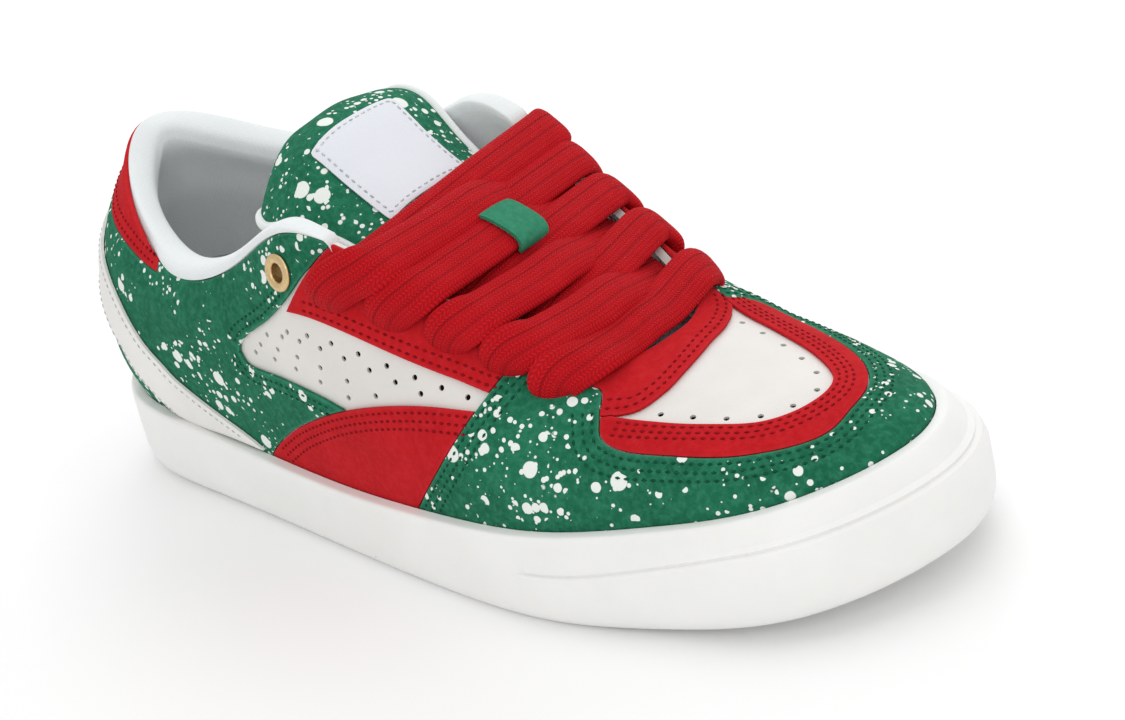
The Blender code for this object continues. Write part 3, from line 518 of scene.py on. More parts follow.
def suede(name, colour, deep, light, spotted=False):
    made, tree, shader = newMaterial(name)
    coords = objectCoords(tree)
    nap = noise(tree, coords, suedeLook["napScale"], 2.0, 0.7)
    fuzz = noise(tree, coords, suedeLook["fuzzScale"], 4.0, 0.65)
    shade = noise(tree, coords, suedeLook["shadeScale"], 3.0, 0.6, 0.4)
    tone = mixColour(tree, ramp(tree, shade, 0.0, 1.0, 0.32, 0.70), deep, colour)
    tone = mixColour(tree, ramp(tree, fuzz, 0.0, 0.55, 0.42, 0.78), tone, light)
    # Painted highlight: the suede is lightened, in patches, within 0.9 mm of each panel's raised cut edge
    edge = node(tree, "ShaderNodeAttribute", attribute_name="edge").outputs["Fac"]
    nearEdge = ramp(tree, edge, 0.62, 0.0, 0.0, 0.9 * mm)
    edgeHighlight = maths(tree, "MULTIPLY", nearEdge, ramp(tree, fuzz, 0.5, 1.2))
    tone = mixColour(tree, edgeHighlight, tone, light)
    normal = bump(tree, nap, 0.55, 0.00022)
    normal = bump(tree, fuzz, 0.45, 0.00035, normal)
    roughness = suedeLook["roughness"]
    if spotted:
        mask = splatterMask(tree, coords)
        tone = mixColour(tree, mask, tone, splatter["colour"])
        normal = bump(tree, mask, 0.5, 0.00025, normal)
        roughness = ramp(tree, mask, roughness, splatter["roughness"])
    fill(tree, shader, {
        "Base Color": tone, "Normal": normal, "Roughness": roughness, "Specular IOR Level": 0.18,
        "Sheen Weight": suedeLook["sheen"], "Sheen Roughness": 0.45, "Sheen Tint": (*light, 1),
    })
    return made


def leather(name, colour, creased, grainScale=1100.0, roughness=0.48):
    made, tree, shader = newMaterial(name)
    coords = objectCoords(tree)
    grain = node(tree, "ShaderNodeTexVoronoi", {"Vector": coords, "Scale": grainScale}).outputs["Distance"]
    pores = noise(tree, coords, grainScale * 0.55, 3.0, 0.6)
    shade = noise(tree, coords, 45.0, 3.0, 0.55)
    tone = mixColour(tree, ramp(tree, shade, 0.0, 1.0, 0.35, 0.70), creased, colour)
    normal = bump(tree, grain, 0.16, 0.00018)
    normal = bump(tree, pores, 0.14, 0.00020, normal)
    fill(tree, shader, {
        "Base Color": tone, "Normal": normal, "Coat Weight": 0.06, "Coat Roughness": 0.45,
        "Roughness": ramp(tree, pores, roughness - 0.06, roughness + 0.10),
    })
    return made


def rubber(name, colour, dusty):
    made, tree, shader = newMaterial(name)
    coords = objectCoords(tree)
    shade = noise(tree, coords, 26.0, 4.0, 0.6)
    fine = noise(tree, coords, 900.0, 2.0, 0.6)
    tone = mixColour(tree, ramp(tree, shade, 0.0, 1.0, 0.40, 0.66), dusty, colour)
    # A few dust specks
    specks = node(tree, "ShaderNodeTexVoronoi", {"Vector": coords, "Scale": 95.0})
    luck = node(tree, "ShaderNodeSeparateColor", {"Color": specks.outputs["Color"]}).outputs[0]
    small = maths(tree, "LESS_THAN", specks.outputs["Distance"], 0.035)
    speck = maths(tree, "MULTIPLY", small, maths(tree, "GREATER_THAN", luck, 0.80))
    tone = mixColour(tree, maths(tree, "MULTIPLY", speck, 0.55), tone, (0.30, 0.27, 0.22))
    normal = bump(tree, fine, 0.06, 0.0002)
    fill(tree, shader, {
        "Base Color": tone, "Normal": normal, "Roughness": ramp(tree, shade, 0.40, 0.52),
        "Subsurface Weight": 0.04, "Subsurface Scale": 0.004,
    })
    return made


def knit(name, colour, shadeColour, cell=0.9, depth=0.00022):  # fine cloth of small offset cells
    made, tree, shader = newMaterial(name)
    coords = objectCoords(tree)
    weave = node(tree, "ShaderNodeTexVoronoi", {"Vector": coords, "Scale": 1000.0 / cell, "Randomness": 0.35})
    soft = noise(tree, coords, 70.0, 3.0, 0.6)
    tone = mixColour(tree, ramp(tree, weave.outputs["Distance"], 0.0, 0.55, 0.15, 0.75), colour, shadeColour)
    tone = mixColour(tree, ramp(tree, soft, 0.0, 0.25, 0.45, 0.75), tone, shadeColour)
    normal = bump(tree, weave.outputs["Distance"], 0.5, -depth)
    fill(tree, shader, {
        "Base Color": tone, "Normal": normal, "Roughness": 0.9, "Sheen Weight": 0.25, "Sheen Roughness": 0.5,
    })
    return made


laceLook = {"column": 1.20, "yarn": 0.95, "slope": 0.62, "grooves": (-2.3, 2.1)}


def laceCloth(name, colour, deep, light):  # flat braid: slanted yarns that turn back at each column
    made, tree, shader = newMaterial(name)
    place = node(tree, "ShaderNodeUVMap", uv_map="laceMap")
    parts = node(tree, "ShaderNodeSeparateXYZ", {0: place.outputs[0]})
    along, across = parts.outputs[0], parts.outputs[1]  # both in mm
    column = maths(tree, "PINGPONG", across, laceLook["column"])
    yarn = maths(tree, "ADD", along, maths(tree, "MULTIPLY", column, laceLook["slope"]))
    wave = maths(tree, "SINE", maths(tree, "MULTIPLY", yarn, 2 * math.pi / laceLook["yarn"]))
    valley = maths(tree, "ABSOLUTE", maths(tree, "SUBTRACT", column, laceLook["column"] / 2))
    valley = ramp(tree, valley, 1.0, 0.0, laceLook["column"] * 0.28, laceLook["column"] * 0.5)
    height = maths(tree, "MULTIPLY", maths(tree, "ADD", maths(tree, "MULTIPLY", wave, 0.5), 0.5), valley)
    groove = None
    for middle in laceLook["grooves"]:
        away = maths(tree, "ABSOLUTE", maths(tree, "SUBTRACT", across, middle))
        near = ramp(tree, away, 0.0, 1.0, 0.05, 0.55)
        groove = near if groove is None else maths(tree, "MULTIPLY", groove, near)
    soft = noise(tree, objectCoords(tree), 130.0, 3.0, 0.6)
    # Painted shade: the braid is darker in the low places between its yarns
    tone = mixColour(tree, ramp(tree, height, 0.0, 1.0, 0.0, 0.55), deep, colour)
    tone = mixColour(tree, ramp(tree, soft, 0.0, 0.30, 0.45, 0.80), tone, light)
    # Painted shade: the braid is darker along its two grooves
    tone = mixColour(tree, ramp(tree, groove, 0.75, 0.0), tone, deep)
    normal = bump(tree, height, 0.80, 0.00030)
    normal = bump(tree, groove, 0.6, 0.0004, normal)
    fill(tree, shader, {
        "Base Color": tone, "Normal": normal, "Roughness": 0.88, "Specular IOR Level": 0.2,
        "Sheen Weight": 0.10, "Sheen Roughness": 0.4, "Sheen Tint": (*light, 1),
    })
    return made


def metal(name, colour):
    made, tree, shader = newMaterial(name)
    pits = noise(tree, objectCoords(tree), 1700.0, 3.0, 0.7)
    tone = mixColour(tree, ramp(tree, pits, 0.0, 0.5, 0.45, 0.75), colour, (0.32, 0.22, 0.12))
    fill(tree, shader, {
        "Base Color": tone, "Normal": bump(tree, pits, 0.5, 0.0001), "Metallic": 1.0, "Roughness": 0.34,
    })
    return made


def plain(name, colour, roughness=0.8):  # thread, and the dark discs painted as shade in holes, varied a little along the piece
    made, tree, shader = newMaterial(name)
    shade = noise(tree, objectCoords(tree), 900.0, 2.0, 0.6)
    dark = tuple(0.6 * c for c in colour)
    tone = mixColour(tree, ramp(tree, shade, 0.0, 1.0, 0.35, 0.65), dark, colour)
    fill(tree, shader, {"Base Color": tone, "Roughness": roughness, "Specular IOR Level": 0.05})
    return made


green = ((0.012, 0.150, 0.078), (0.006, 0.105, 0.052), (0.050, 0.290, 0.170))  # suede: face, deep, light
finish = {
    "whiteRubber": rubber("whiteRubber", (0.86, 0.86, 0.845), (0.82, 0.82, 0.80)),
    "whiteLeather": leather("whiteLeather", (0.745, 0.725, 0.69), (0.70, 0.68, 0.645)),
    "strapLeather": leather("strapLeather", (0.81, 0.80, 0.775), (0.76, 0.75, 0.725), 800.0, 0.42),
    "greenSuede": suede("greenSuede", *green),
    "spottedSuede": suede("spottedSuede", *green, True),
    "redSuede": suede("redSuede", (0.520, 0.008, 0.013), (0.440, 0.005, 0.009), (0.590, 0.022, 0.030)),
    "lining": knit("lining", (0.80, 0.83, 0.83), (0.70, 0.74, 0.75), 0.7, 0.00012),
    "binding": knit("binding", (0.80, 0.83, 0.82), (0.68, 0.72, 0.72), 0.6, 0.0001),
    "insoleCloth": knit("insoleCloth", (0.60, 0.62, 0.63), (0.46, 0.48, 0.49), 0.8, 0.0001),
    "greyMesh": knit("greyMesh", (0.40, 0.40, 0.46), (0.12, 0.12, 0.16), 1.6, 0.0004),
    "lace": laceCloth("lace", (0.580, 0.003, 0.009), (0.330, 0.001, 0.004), (0.640, 0.010, 0.018)),
    "gilt": metal("gilt", (0.72, 0.53, 0.28)),
    "labelCloth": knit("labelCloth", (0.74, 0.76, 0.81), (0.67, 0.69, 0.75), 0.45, 0.00006),
    "greenThread": plain("greenThread", (0.010, 0.100, 0.052)),
    "redThread": plain("redThread", (0.330, 0.008, 0.014)),
    "whiteThread": plain("whiteThread", (0.62, 0.64, 0.66)),
    # Painted shade: near-black discs set in the perforations and needle holes
    "paintedHoleShade": plain("paintedHoleShade", (0.010, 0.007, 0.007), 1.0),
}
print("materials")


# Cup sole
sole = {
    "columns": 480, "grooveDepth": 1.8 * mm, "grooveWidth": 2.0 * mm, "zigzag": 3.2 * mm, "zigzagTurns": 15,
    "border": 0.078,  # of ball width, left plain beside the grooves
}
toeBumper = {
    "rise": 0.9 * mm, "start": 6.80, "end": 13.3, "fade": 0.12,  # stations round the shoe
    "lip": 0.60, "lipClimb": 0.14, "climbStart": 7.0, "climbEnd": 13.2, "climbFade": 1.6,
}


def between(u, start, end, fade):
    return ease((u - start) / fade) * ease((end - u) / fade)


def bumper(u):  # the raised toe bumper, from the outer ball round the toe
    return toeBumper["rise"] * between(u, toeBumper["start"], toeBumper["end"], toeBumper["fade"])


def cupLoops():
    u = np.linspace(0, 20, sole["columns"], endpoint=False)
    rim, foot = rimInset(u) * last["rimUnit"], footInset(u) * last["footUnit"]
    top, base = wallTop(u), spring(soleX(u) * shoe["length"])
    raised = bumper(u)
    zero = 0 * u
    # The bumper's lip climbs from the ball to the toe
    climb = between(u, toeBumper["climbStart"], toeBumper["climbEnd"], toeBumper["climbFade"])
    lip = toeBumper["lip"] + toeBumper["lipClimb"] * climb
    knots = (
        (zero, foot + 1.3 * mm),
        (zero + 0.008, foot + 0.5 * mm),
        (zero + 0.035, foot * 0.80),
        (zero + 0.09, foot * 0.42),
        (zero + 0.18, foot * 0.12),
        (zero + 0.30, zero),
        (lip - 0.16, rim * 0.12 - raised),
        (lip - 0.05, rim * 0.24 - raised),
        (lip - 0.014, rim * 0.29 - raised * 0.95),
        (lip - 0.003, rim * 0.31 - raised * 0.60),
        (lip + 0.002, rim * 0.32 + raised * 0.45),
        (lip + 0.018, rim * 0.34 + raised * 0.45),
        (lip + 0.030, rim * 0.36),
        (zero + 0.80, rim * 0.58),
        (zero + 0.91, rim * 0.82),
        (zero + 0.965, rim * 0.96 + 0.05 * mm),
        (zero + 0.988, rim + 0.35 * mm),
        (zero + 0.998, rim + 0.75 * mm),
        (zero + 1.000, rim + 1.2 * mm),
    )
    loops = []
    for share, inset in knots:
        x, y, _, _ = outline(u, inset)
        loops.append(np.stack([x, y, base + share * (top - base)], -1))
    reach = shoe["overlayWall"] + 2 * shoe["gap"]
    inner = skin(u, 0.0, reach, False)
    inner[:, 2] = top
    floor = skin(u, -1.0, reach, False)
    floor[:, 2] = upperPoint(u, -1.0)[:, 2] - shoe["gap"]
    mid = (inner + floor) / 2
    return np.stack(loops + [inner, mid, floor], 1)


def treadCutter():
    points, faces = [], []
    sides = np.arange(0, 10.5, 0.25)
    for place in [0.10 + 0.04 * k for k in range(6)] + [0.50 + 0.04 * k for k in range(7)]:
        x = place * shoe["length"]
        low = np.interp(x, soleX(sides) * shoe["length"], -soleY(sides) * shoe["ballWidth"])
        high = np.interp(x, soleX(20 - sides) * shoe["length"], soleY(20 - sides) * shoe["ballWidth"])
        border = sole["border"] * shoe["ballWidth"]
        ys = np.linspace(-low + border, high - border, sole["zigzagTurns"])
        start = len(points)
        for k, y in enumerate(ys):
            shift = sole["zigzag"] / 2 * (-1) ** k
            for side in (-0.5, 0.5):
                for z in (-3 * mm, spring(x) + sole["grooveDepth"]):
                    points.append((x + shift + side * sole["grooveWidth"], y, z))
        for k in range(len(ys) - 1):
            a, b = start + 4 * k, start + 4 * k + 4
            faces += [(a, b, b + 1, a + 1), (a + 1, b + 1, b + 3, a + 3)]
            faces += [(a + 3, b + 3, b + 2, a + 2), (a + 2, b + 2, b, a)]
        end = len(points)
        faces += [(start, start + 1, start + 3, start + 2), (end - 4, end - 2, end - 1, end - 3)]
    return addCutter("treadCutter", meshFrom("treadCutter", points, faces))


cupSole = addObject("cupSole", traySolid("cupSole", cupLoops(), 32), finish["whiteRubber"])
cut(cupSole, treadCutter(), "DIFFERENCE")
settle(cupSole)
dress(cupSole, "cup_sole")
print("sole")


# Upper: one hollow wall, and the surface that every panel is measured from
upperLook = {"columns": 480, "outerRows": 66, "innerRows": 20}


def skinLoops(us, low, high, outerRows, innerRows, edge=1.0):  # from the cup floor, at -1, up to the edge
    outer = np.concatenate([np.linspace(-1.0, -0.02, 5), np.linspace(0, edge, outerRows)])
    inner = np.concatenate([np.linspace(edge, 0, innerRows), np.linspace(-0.02, -1.0, 4)])
    u = np.asarray(us, float)[:, None]
    return np.concatenate([skin(u, outer[None, :], high), skin(u, inner[None, :], low)], 1)


allColumns = np.linspace(0, 20, upperLook["columns"], endpoint=False)
upperLoops = skinLoops(allColumns, -shoe["upperWall"], 0.0, upperLook["outerRows"], upperLook["innerRows"])
upperShell = addObject("upperShell", ringSolid("upperShell", upperLoops, True, 60), finish["whiteLeather"])

baseGrid = skin(allColumns[:, None], np.linspace(-1, 1, 90)[None, :]) - np.array(shoe["middle"])
baseFaces = gridFaces(*baseGrid.shape[:2], True, loop=False)
baseTree = BVHTree.FromPolygons(baseGrid.reshape(-1, 3).tolist(), baseFaces)


# Panels: each is cut from a skin over the upper along its ribs, in pairs of station and height
ribTables = {
    "mudguard": (
        (5.74, -1.1, 5.74, 0.0, 7.16, 0.80), (6.30, -1.1, 6.30, 0.0, 7.72, 0.83),
        (6.90, -1.1, 6.90, 0.0, 8.30, 0.83), (7.35, -1.1, 7.35, 0.0, 8.10, 0.66),
        (7.75, -1.1, 7.75, 0.0, 7.95, 0.53), (8.15, -1.1, 8.15, 0.0, 8.08, 0.465),
        (8.60, -1.1, 8.60, 0.0, 8.55, 0.435), (9.05, -1.1, 9.05, 0.0, 9.05, 0.36),
        (9.50, -1.1, 9.50, 0.0, 9.50, 0.31), (9.90, -1.1, 9.90, 0.0, 9.90, 0.355),
        (10.3, -1.1, 10.3, 0.0, 10.3, 0.38), (10.7, -1.1, 10.7, 0.0, 10.7, 0.42),
        (11.2, -1.1, 11.2, 0.0, 11.2, 0.49), (11.7, -1.1, 11.7, 0.0, 11.7, 0.55),
        (12.2, -1.1, 12.2, 0.0, 12.08, 0.62), (12.7, -1.1, 12.7, 0.0, 11.98, 0.73),
        (13.2, -1.1, 13.2, 0.0, 11.85, 0.83), (13.7, -1.1, 13.7, 0.0, 12.35, 0.84),
        (14.26, -1.1, 14.26, 0.0, 12.84, 0.80),
    ),
    "vampTrim": (
        (7.60, 0.60, 8.28, 0.68), (7.80, 0.42, 8.55, 0.665), (8.40, 0.34, 8.80, 0.64),
        (8.95, 0.28, 9.10, 0.585), (9.40, 0.22, 9.42, 0.50), (9.80, 0.22, 9.80, 0.475),
        (10.2, 0.26, 10.2, 0.495), (10.6, 0.32, 10.55, 0.59), (11.2, 0.40, 11.00, 0.72),
        (11.8, 0.46, 11.45, 0.80), (12.5, 0.60, 11.80, 0.84),
    ),
    "throatTab": (
        (7.95, 0.66, 8.25, 1.06), (8.60, 0.71, 8.62, 1.06), (9.10, 0.785, 9.10, 1.06),
        (9.60, 0.85, 9.60, 1.06), (10.2, 0.885, 10.2, 1.06), (10.8, 0.868, 10.8, 1.06),
        (11.3, 0.842, 11.3, 1.06), (12.0, 0.80, 11.85, 1.06),
    ),
    "eyestay": (
        (4.76, 0.745, 5.52, 1.06), (5.48, 0.712, 6.00, 1.06), (5.98, 0.690, 6.40, 1.06),
        (6.53, 0.670, 6.80, 1.06), (7.00, 0.655, 7.15, 1.06), (7.40, 0.76, 7.50, 1.06),
        (7.90, 0.82, 7.95, 1.06), (8.60, 0.84, 8.60, 1.06),
    ),
    "saddle": (
        (4.02, -1.1, 4.02, 0.0, 4.08, 0.03), (4.30, -1.1, 4.30, 0.0, 4.27, 0.11),
        (4.70, -1.1, 4.70, 0.0, 4.60, 0.22), (5.20, -1.1, 5.20, 0.0, 5.20, 0.355),
        (5.60, -1.1, 5.60, 0.0, 6.05, 0.490), (5.95, -1.1, 5.95, 0.0, 6.90, 0.555),
    ),
    "quarter": (
        (0.015, -1.1, 0.015, 0.0, 0.015, 0.82), (0.80, -1.1, 0.80, 0.0, 0.80, 0.84),
        (1.60, -1.1, 1.60, 0.0, 1.60, 0.87), (2.25, -1.1, 2.25, 0.0, 2.25, 0.91),
        (2.55, -1.1, 2.55, 0.0, 2.55, 1.00), (2.85, -1.1, 2.85, 0.0, 2.85, 1.06),
        (3.50, -1.1, 3.50, 0.0, 3.50, 1.06), (4.10, -1.1, 4.20, 0.0, 4.30, 1.06),
        (4.60, -1.1, 4.60, 0.0, 5.00, 1.06), (5.30, -1.1, 5.30, 0.0, 5.60, 1.06),
    ),
    "window": (
        (3.87, 0.585, 3.88, 0.625), (4.03, 0.495, 4.02, 0.675), (4.50, 0.440, 4.42, 0.725),
        (5.00, 0.388, 4.80, 0.80), (5.25, 0.360, 5.20, 0.92), (5.80, 0.340, 5.70, 0.98),
    ),
    "heelTab": (
        (-2.62, 0.945, -2.62, 1.004), (-2.25, 0.91, -2.25, 1.020), (-1.60, 0.87, -1.60, 1.045),
        (-0.80, 0.84, -0.80, 1.055), (0.00, 0.82, 0.00, 1.060), (0.80, 0.84, 0.80, 1.055),
        (1.60, 0.87, 1.60, 1.045), (2.25, 0.91, 2.25, 1.020), (2.62, 0.945, 2.62, 1.004),
    ),
    "heelBand": (
        (-3.96, 0.022, -3.86, 0.050), (-3.50, 0.022, -3.40, 0.155), (-2.75, 0.022, -2.95, 0.30),
        (-2.30, 0.21, -2.50, 0.47), (-1.80, 0.40, -1.90, 0.64), (-1.00, 0.47, -1.00, 0.70),
        (0.00, 0.49, 0.00, 0.72), (1.00, 0.47, 1.00, 0.70), (1.80, 0.40, 1.90, 0.64),
        (2.30, 0.21, 2.50, 0.47), (2.75, 0.022, 2.95, 0.30), (3.50, 0.022, 3.40, 0.155),
        (3.96, 0.022, 3.86, 0.050),
    ),
}
panelLook = {"samples": 110, "steps": 9, "seam": 0.35 * mm, "round": 0.85 * mm, "roundDepth": 0.34 * mm}
overlayLow = shoe["gap"]
overlayHigh = shoe["gap"] + shoe["overlayWall"]


def mirrored(ribs):
    table = np.array(ribs, float)
    table[:, 0::2] = 20 - table[:, 0::2]
    return table


def rimOf(count, size):
    rim = [(i, 0) for i in range(count)] + [(count - 1, k) for k in range(1, size)]
    return rim + [(i, size - 1) for i in range(count - 2, -1, -1)] + [(0, k) for k in range(size - 2, 0, -1)]


def surfaceShift(us, vs, away):  # how far u and v change for a step over the surface
    step = 0.01
    du = (upperPoint(us + step, vs) - upperPoint(us - step, vs)) / (2 * step)
    dv = (upperPoint(us, vs + step) - upperPoint(us, vs - step)) / (2 * step)
    uu, uv, vv = (du * du).sum(-1), (du * dv).sum(-1), (dv * dv).sum(-1)
    au, av = (du * away).sum(-1), (dv * away).sum(-1)
    size = uu * vv - uv * uv
    return (au * vv - av * uv) / size, (av * uu - au * uv) / size


def movedEdges(gridU, gridV, margin):
    rows, lines = zip(*rimOf(*gridU.shape))
    us, vs = gridU[rows, lines], gridV[rows, lines]
    place = upperPoint(us, vs)
    away = np.cross(np.roll(place, -1, 0) - np.roll(place, 1, 0), upperNormal(us, vs))
    away /= np.maximum(np.linalg.norm(away, axis=-1, keepdims=True), 1e-9)
    area = np.sum(us * np.roll(vs, -1) - vs * np.roll(us, -1))
    shiftU, shiftV = surfaceShift(us, vs, away * margin * (1 if area > 0 else -1))
    gridU[rows, lines] += shiftU
    gridV[rows, lines] += shiftV
    return gridU, gridV


def ribGrid(ribs, samples, steps):
    table = np.asarray(ribs, float)
    shares = np.linspace(0, 1, samples)
    columns = [openSpline(table[:, k])(shares) for k in range(table.shape[1])]
    us, vs = columns[0::2], columns[1::2]
    t = np.linspace(0, 1, steps, endpoint=False)[:, None]
    lineU = [us[k] + (us[k + 1] - us[k]) * t for k in range(len(us) - 1)] + [us[-1][None]]
    lineV = [vs[k] + (vs[k + 1] - vs[k]) * t for k in range(len(vs) - 1)] + [vs[-1][None]]
    return np.concatenate(lineU).T.copy(), np.concatenate(lineV).T.copy()


def patchCutter(name, ribs, margin=0.0, samples=None, low=-1.6 * mm, high=4.0 * mm):
    gridU, gridV = ribGrid(ribs, samples or panelLook["samples"], panelLook["steps"])
    if margin:
        gridU, gridV = movedEdges(gridU, gridV, margin)
    count, size = gridU.shape
    points = np.concatenate([skin(gridU, gridV, low).reshape(-1, 3), skin(gridU, gridV, high).reshape(-1, 3)])
    shift = count * size
    faces = gridFaces(count, size, False, loop=False)
    faces += [tuple(k + shift for k in reversed(face)) for face in faces]
    rim = [i * size + k for i, k in rimOf(count, size)]
    faces += [(a, b, b + shift, a + shift) for a, b in zip(rim, rim[1:] + rim[:1])]
    return addCutter(name, meshFrom(name, points, faces))


def softenRim(made, top):  # rounds a panel's cut edge, and keeps each point's distance to it
    mesh = made.data
    work = bmesh.new()
    work.from_mesh(mesh)
    bmesh.ops.remove_doubles(work, verts=work.verts, dist=4e-6)
    work.normal_update()
    heights = [baseTree.find_nearest(vertex.co)[3] for vertex in work.verts]
    outer = [h > top - 0.45 * shoe["overlayWall"] for h in heights]
    rim = [
        e for e in work.edges
        if len(e.link_faces) == 2 and e.calc_face_angle() > 0.8 and all(outer[v.index] for v in e.verts)
    ]
    tree = KDTree(3 * len(rim))
    for k, e in enumerate(rim):
        a, b = e.verts[0].co, e.verts[1].co
        for j, share in enumerate((0.0, 0.5, 1.0)):
            tree.insert(a.lerp(b, share), 3 * k + j)
    tree.balance()
    layer = work.verts.layers.float.new("edge")
    radius, depth = panelLook["round"], panelLook["roundDepth"]
    moves = []
    for vertex, isOuter in zip(work.verts, outer):
        distance = tree.find(vertex.co)[2] if rim else 1.0
        vertex[layer] = distance
        if isOuter and distance < 3 * radius:
            drop = depth * max(0.0, 1 - distance / radius) ** 2
            flat = Vector(baseTree.find_nearest(vertex.co)[1])
            moves.append((vertex, flat * drop))
    for vertex, move in moves:
        vertex.co -= move
    work.to_mesh(mesh)
    work.free()
    mesh.shade_smooth()
    mesh.set_sharp_from_angle(angle=math.radians(50))


def panel(name, node, ribs, look, minus=(), level=0, samples=None, edge=1.0):
    table = np.asarray(ribs, float)
    stations = table[:, 0::2]
    step = 20 / upperLook["columns"]
    columns = np.arange(math.floor(stations.min() / step) - 2, math.ceil(stations.max() / step) + 3) * step
    low = overlayLow + level * (shoe["overlayWall"] + shoe["gap"])
    high = low + shoe["overlayWall"]
    rows = upperLook["outerRows"]
    made = addObject(name, ringSolid(name, skinLoops(columns, low, high, rows, rows, edge), False, 60), look)
    cut(made, patchCutter(name + "Cutter", ribs, 0.0, samples), "INTERSECT")
    for other in minus:
        cut(made, other, "DIFFERENCE")
    panels[name] = (made, node, high)
    return made


panels = {}
ribs = ribTables
seam = panelLook["seam"]
mudguardGrown = patchCutter("mudguardGrown", ribs["mudguard"], seam, 260)
trimGrown = patchCutter("trimGrown", ribs["vampTrim"], seam, 200)
throatGrown = patchCutter("throatGrown", ribs["throatTab"], seam)
tabReach = [(a, b, c, 1.08) for a, b, c, _ in ribs["heelTab"]]
tabGrown = patchCutter("tabGrown", tabReach, seam)

panel("toeMudguard", "toe_mudguard", ribs["mudguard"], finish["spottedSuede"], samples=260)
panel("vampTrim", "vamp_trim", ribs["vampTrim"], finish["redSuede"], (mudguardGrown,), samples=200)
panel("throatTab", "throat_tab", ribs["throatTab"], finish["redSuede"], (mudguardGrown, trimGrown))
for side, turn in (("Outer", lambda table: np.array(table, float)), ("Inner", mirrored)):
    cad = "_lateral" if side == "Outer" else "_medial"
    eyestayGrown = patchCutter("eyestayGrown" + side, turn(ribs["eyestay"]), seam)
    saddleGrown = patchCutter("saddleGrown" + side, turn(ribs["saddle"]), seam)
    window = patchCutter("window" + side, turn(ribs["window"]))
    panel(
        "eyestay" + side, "eyestay" + cad, turn(ribs["eyestay"]), finish["redSuede"],
        (mudguardGrown, throatGrown),
    )
    panel("saddle" + side, "saddle" + cad, turn(ribs["saddle"]), finish["redSuede"], (mudguardGrown,))
    panel(
        "quarter" + side, "quarter" + cad, turn(ribs["quarter"]), finish["spottedSuede"],
        (tabGrown, eyestayGrown, saddleGrown, window),
    )
panel("heelTab", "heel_tab", ribs["heelTab"], finish["redSuede"], edge=1.10)
panel("heelBand", "heel_band", ribs["heelBand"], finish["strapLeather"], level=1, samples=160)


# Holes: laced holes, the free top eyelets and the perforations
laceHoles = ((5.33, 0.84), (5.88, 0.85), (6.48, 0.85), (7.08, 0.83), (7.62, 0.78))
eyelet = {"station": 4.73, "height": 0.885, "outer": 5.3 * mm, "hole": 2.6 * mm, "barrel": 3.2 * mm}
holeLook = {"lace": 3.0 * mm, "perforation": 0.80 * mm, "vampPitch": 8.2 * mm, "vampInset": 3.0 * mm}
sideRows = (
    # first and last hole by station and height, and how many
    ((4.68, 0.66), (6.62, 0.60), 8),
    ((4.34, 0.655), (6.10, 0.55), 8),
    ((4.20, 0.61), (5.60, 0.47), 6),
    ((4.10, 0.57), (5.28, 0.42), 5),
)


def boreAt(name, station, height, radius, reach=9 * mm, sides=28):
    centre = skin(station, height) - np.array(shoe["middle"])
    normal = Vector(upperNormal(station, height))
    work = bmesh.new()
    bmesh.ops.create_cone(work, cap_ends=True, segments=sides, radius1=radius, radius2=radius, depth=reach)
    mesh = bpy.data.meshes.new(name)
    turn = normal.to_track_quat("Z", "Y").to_matrix().to_4x4()
    place = Matrix.Translation(Vector(centre) + normal * 1.5 * mm)
    bmesh.ops.transform(work, verts=work.verts, matrix=place @ turn)
    work.to_mesh(mesh)
    work.free()
    return addCutter(name, mesh)


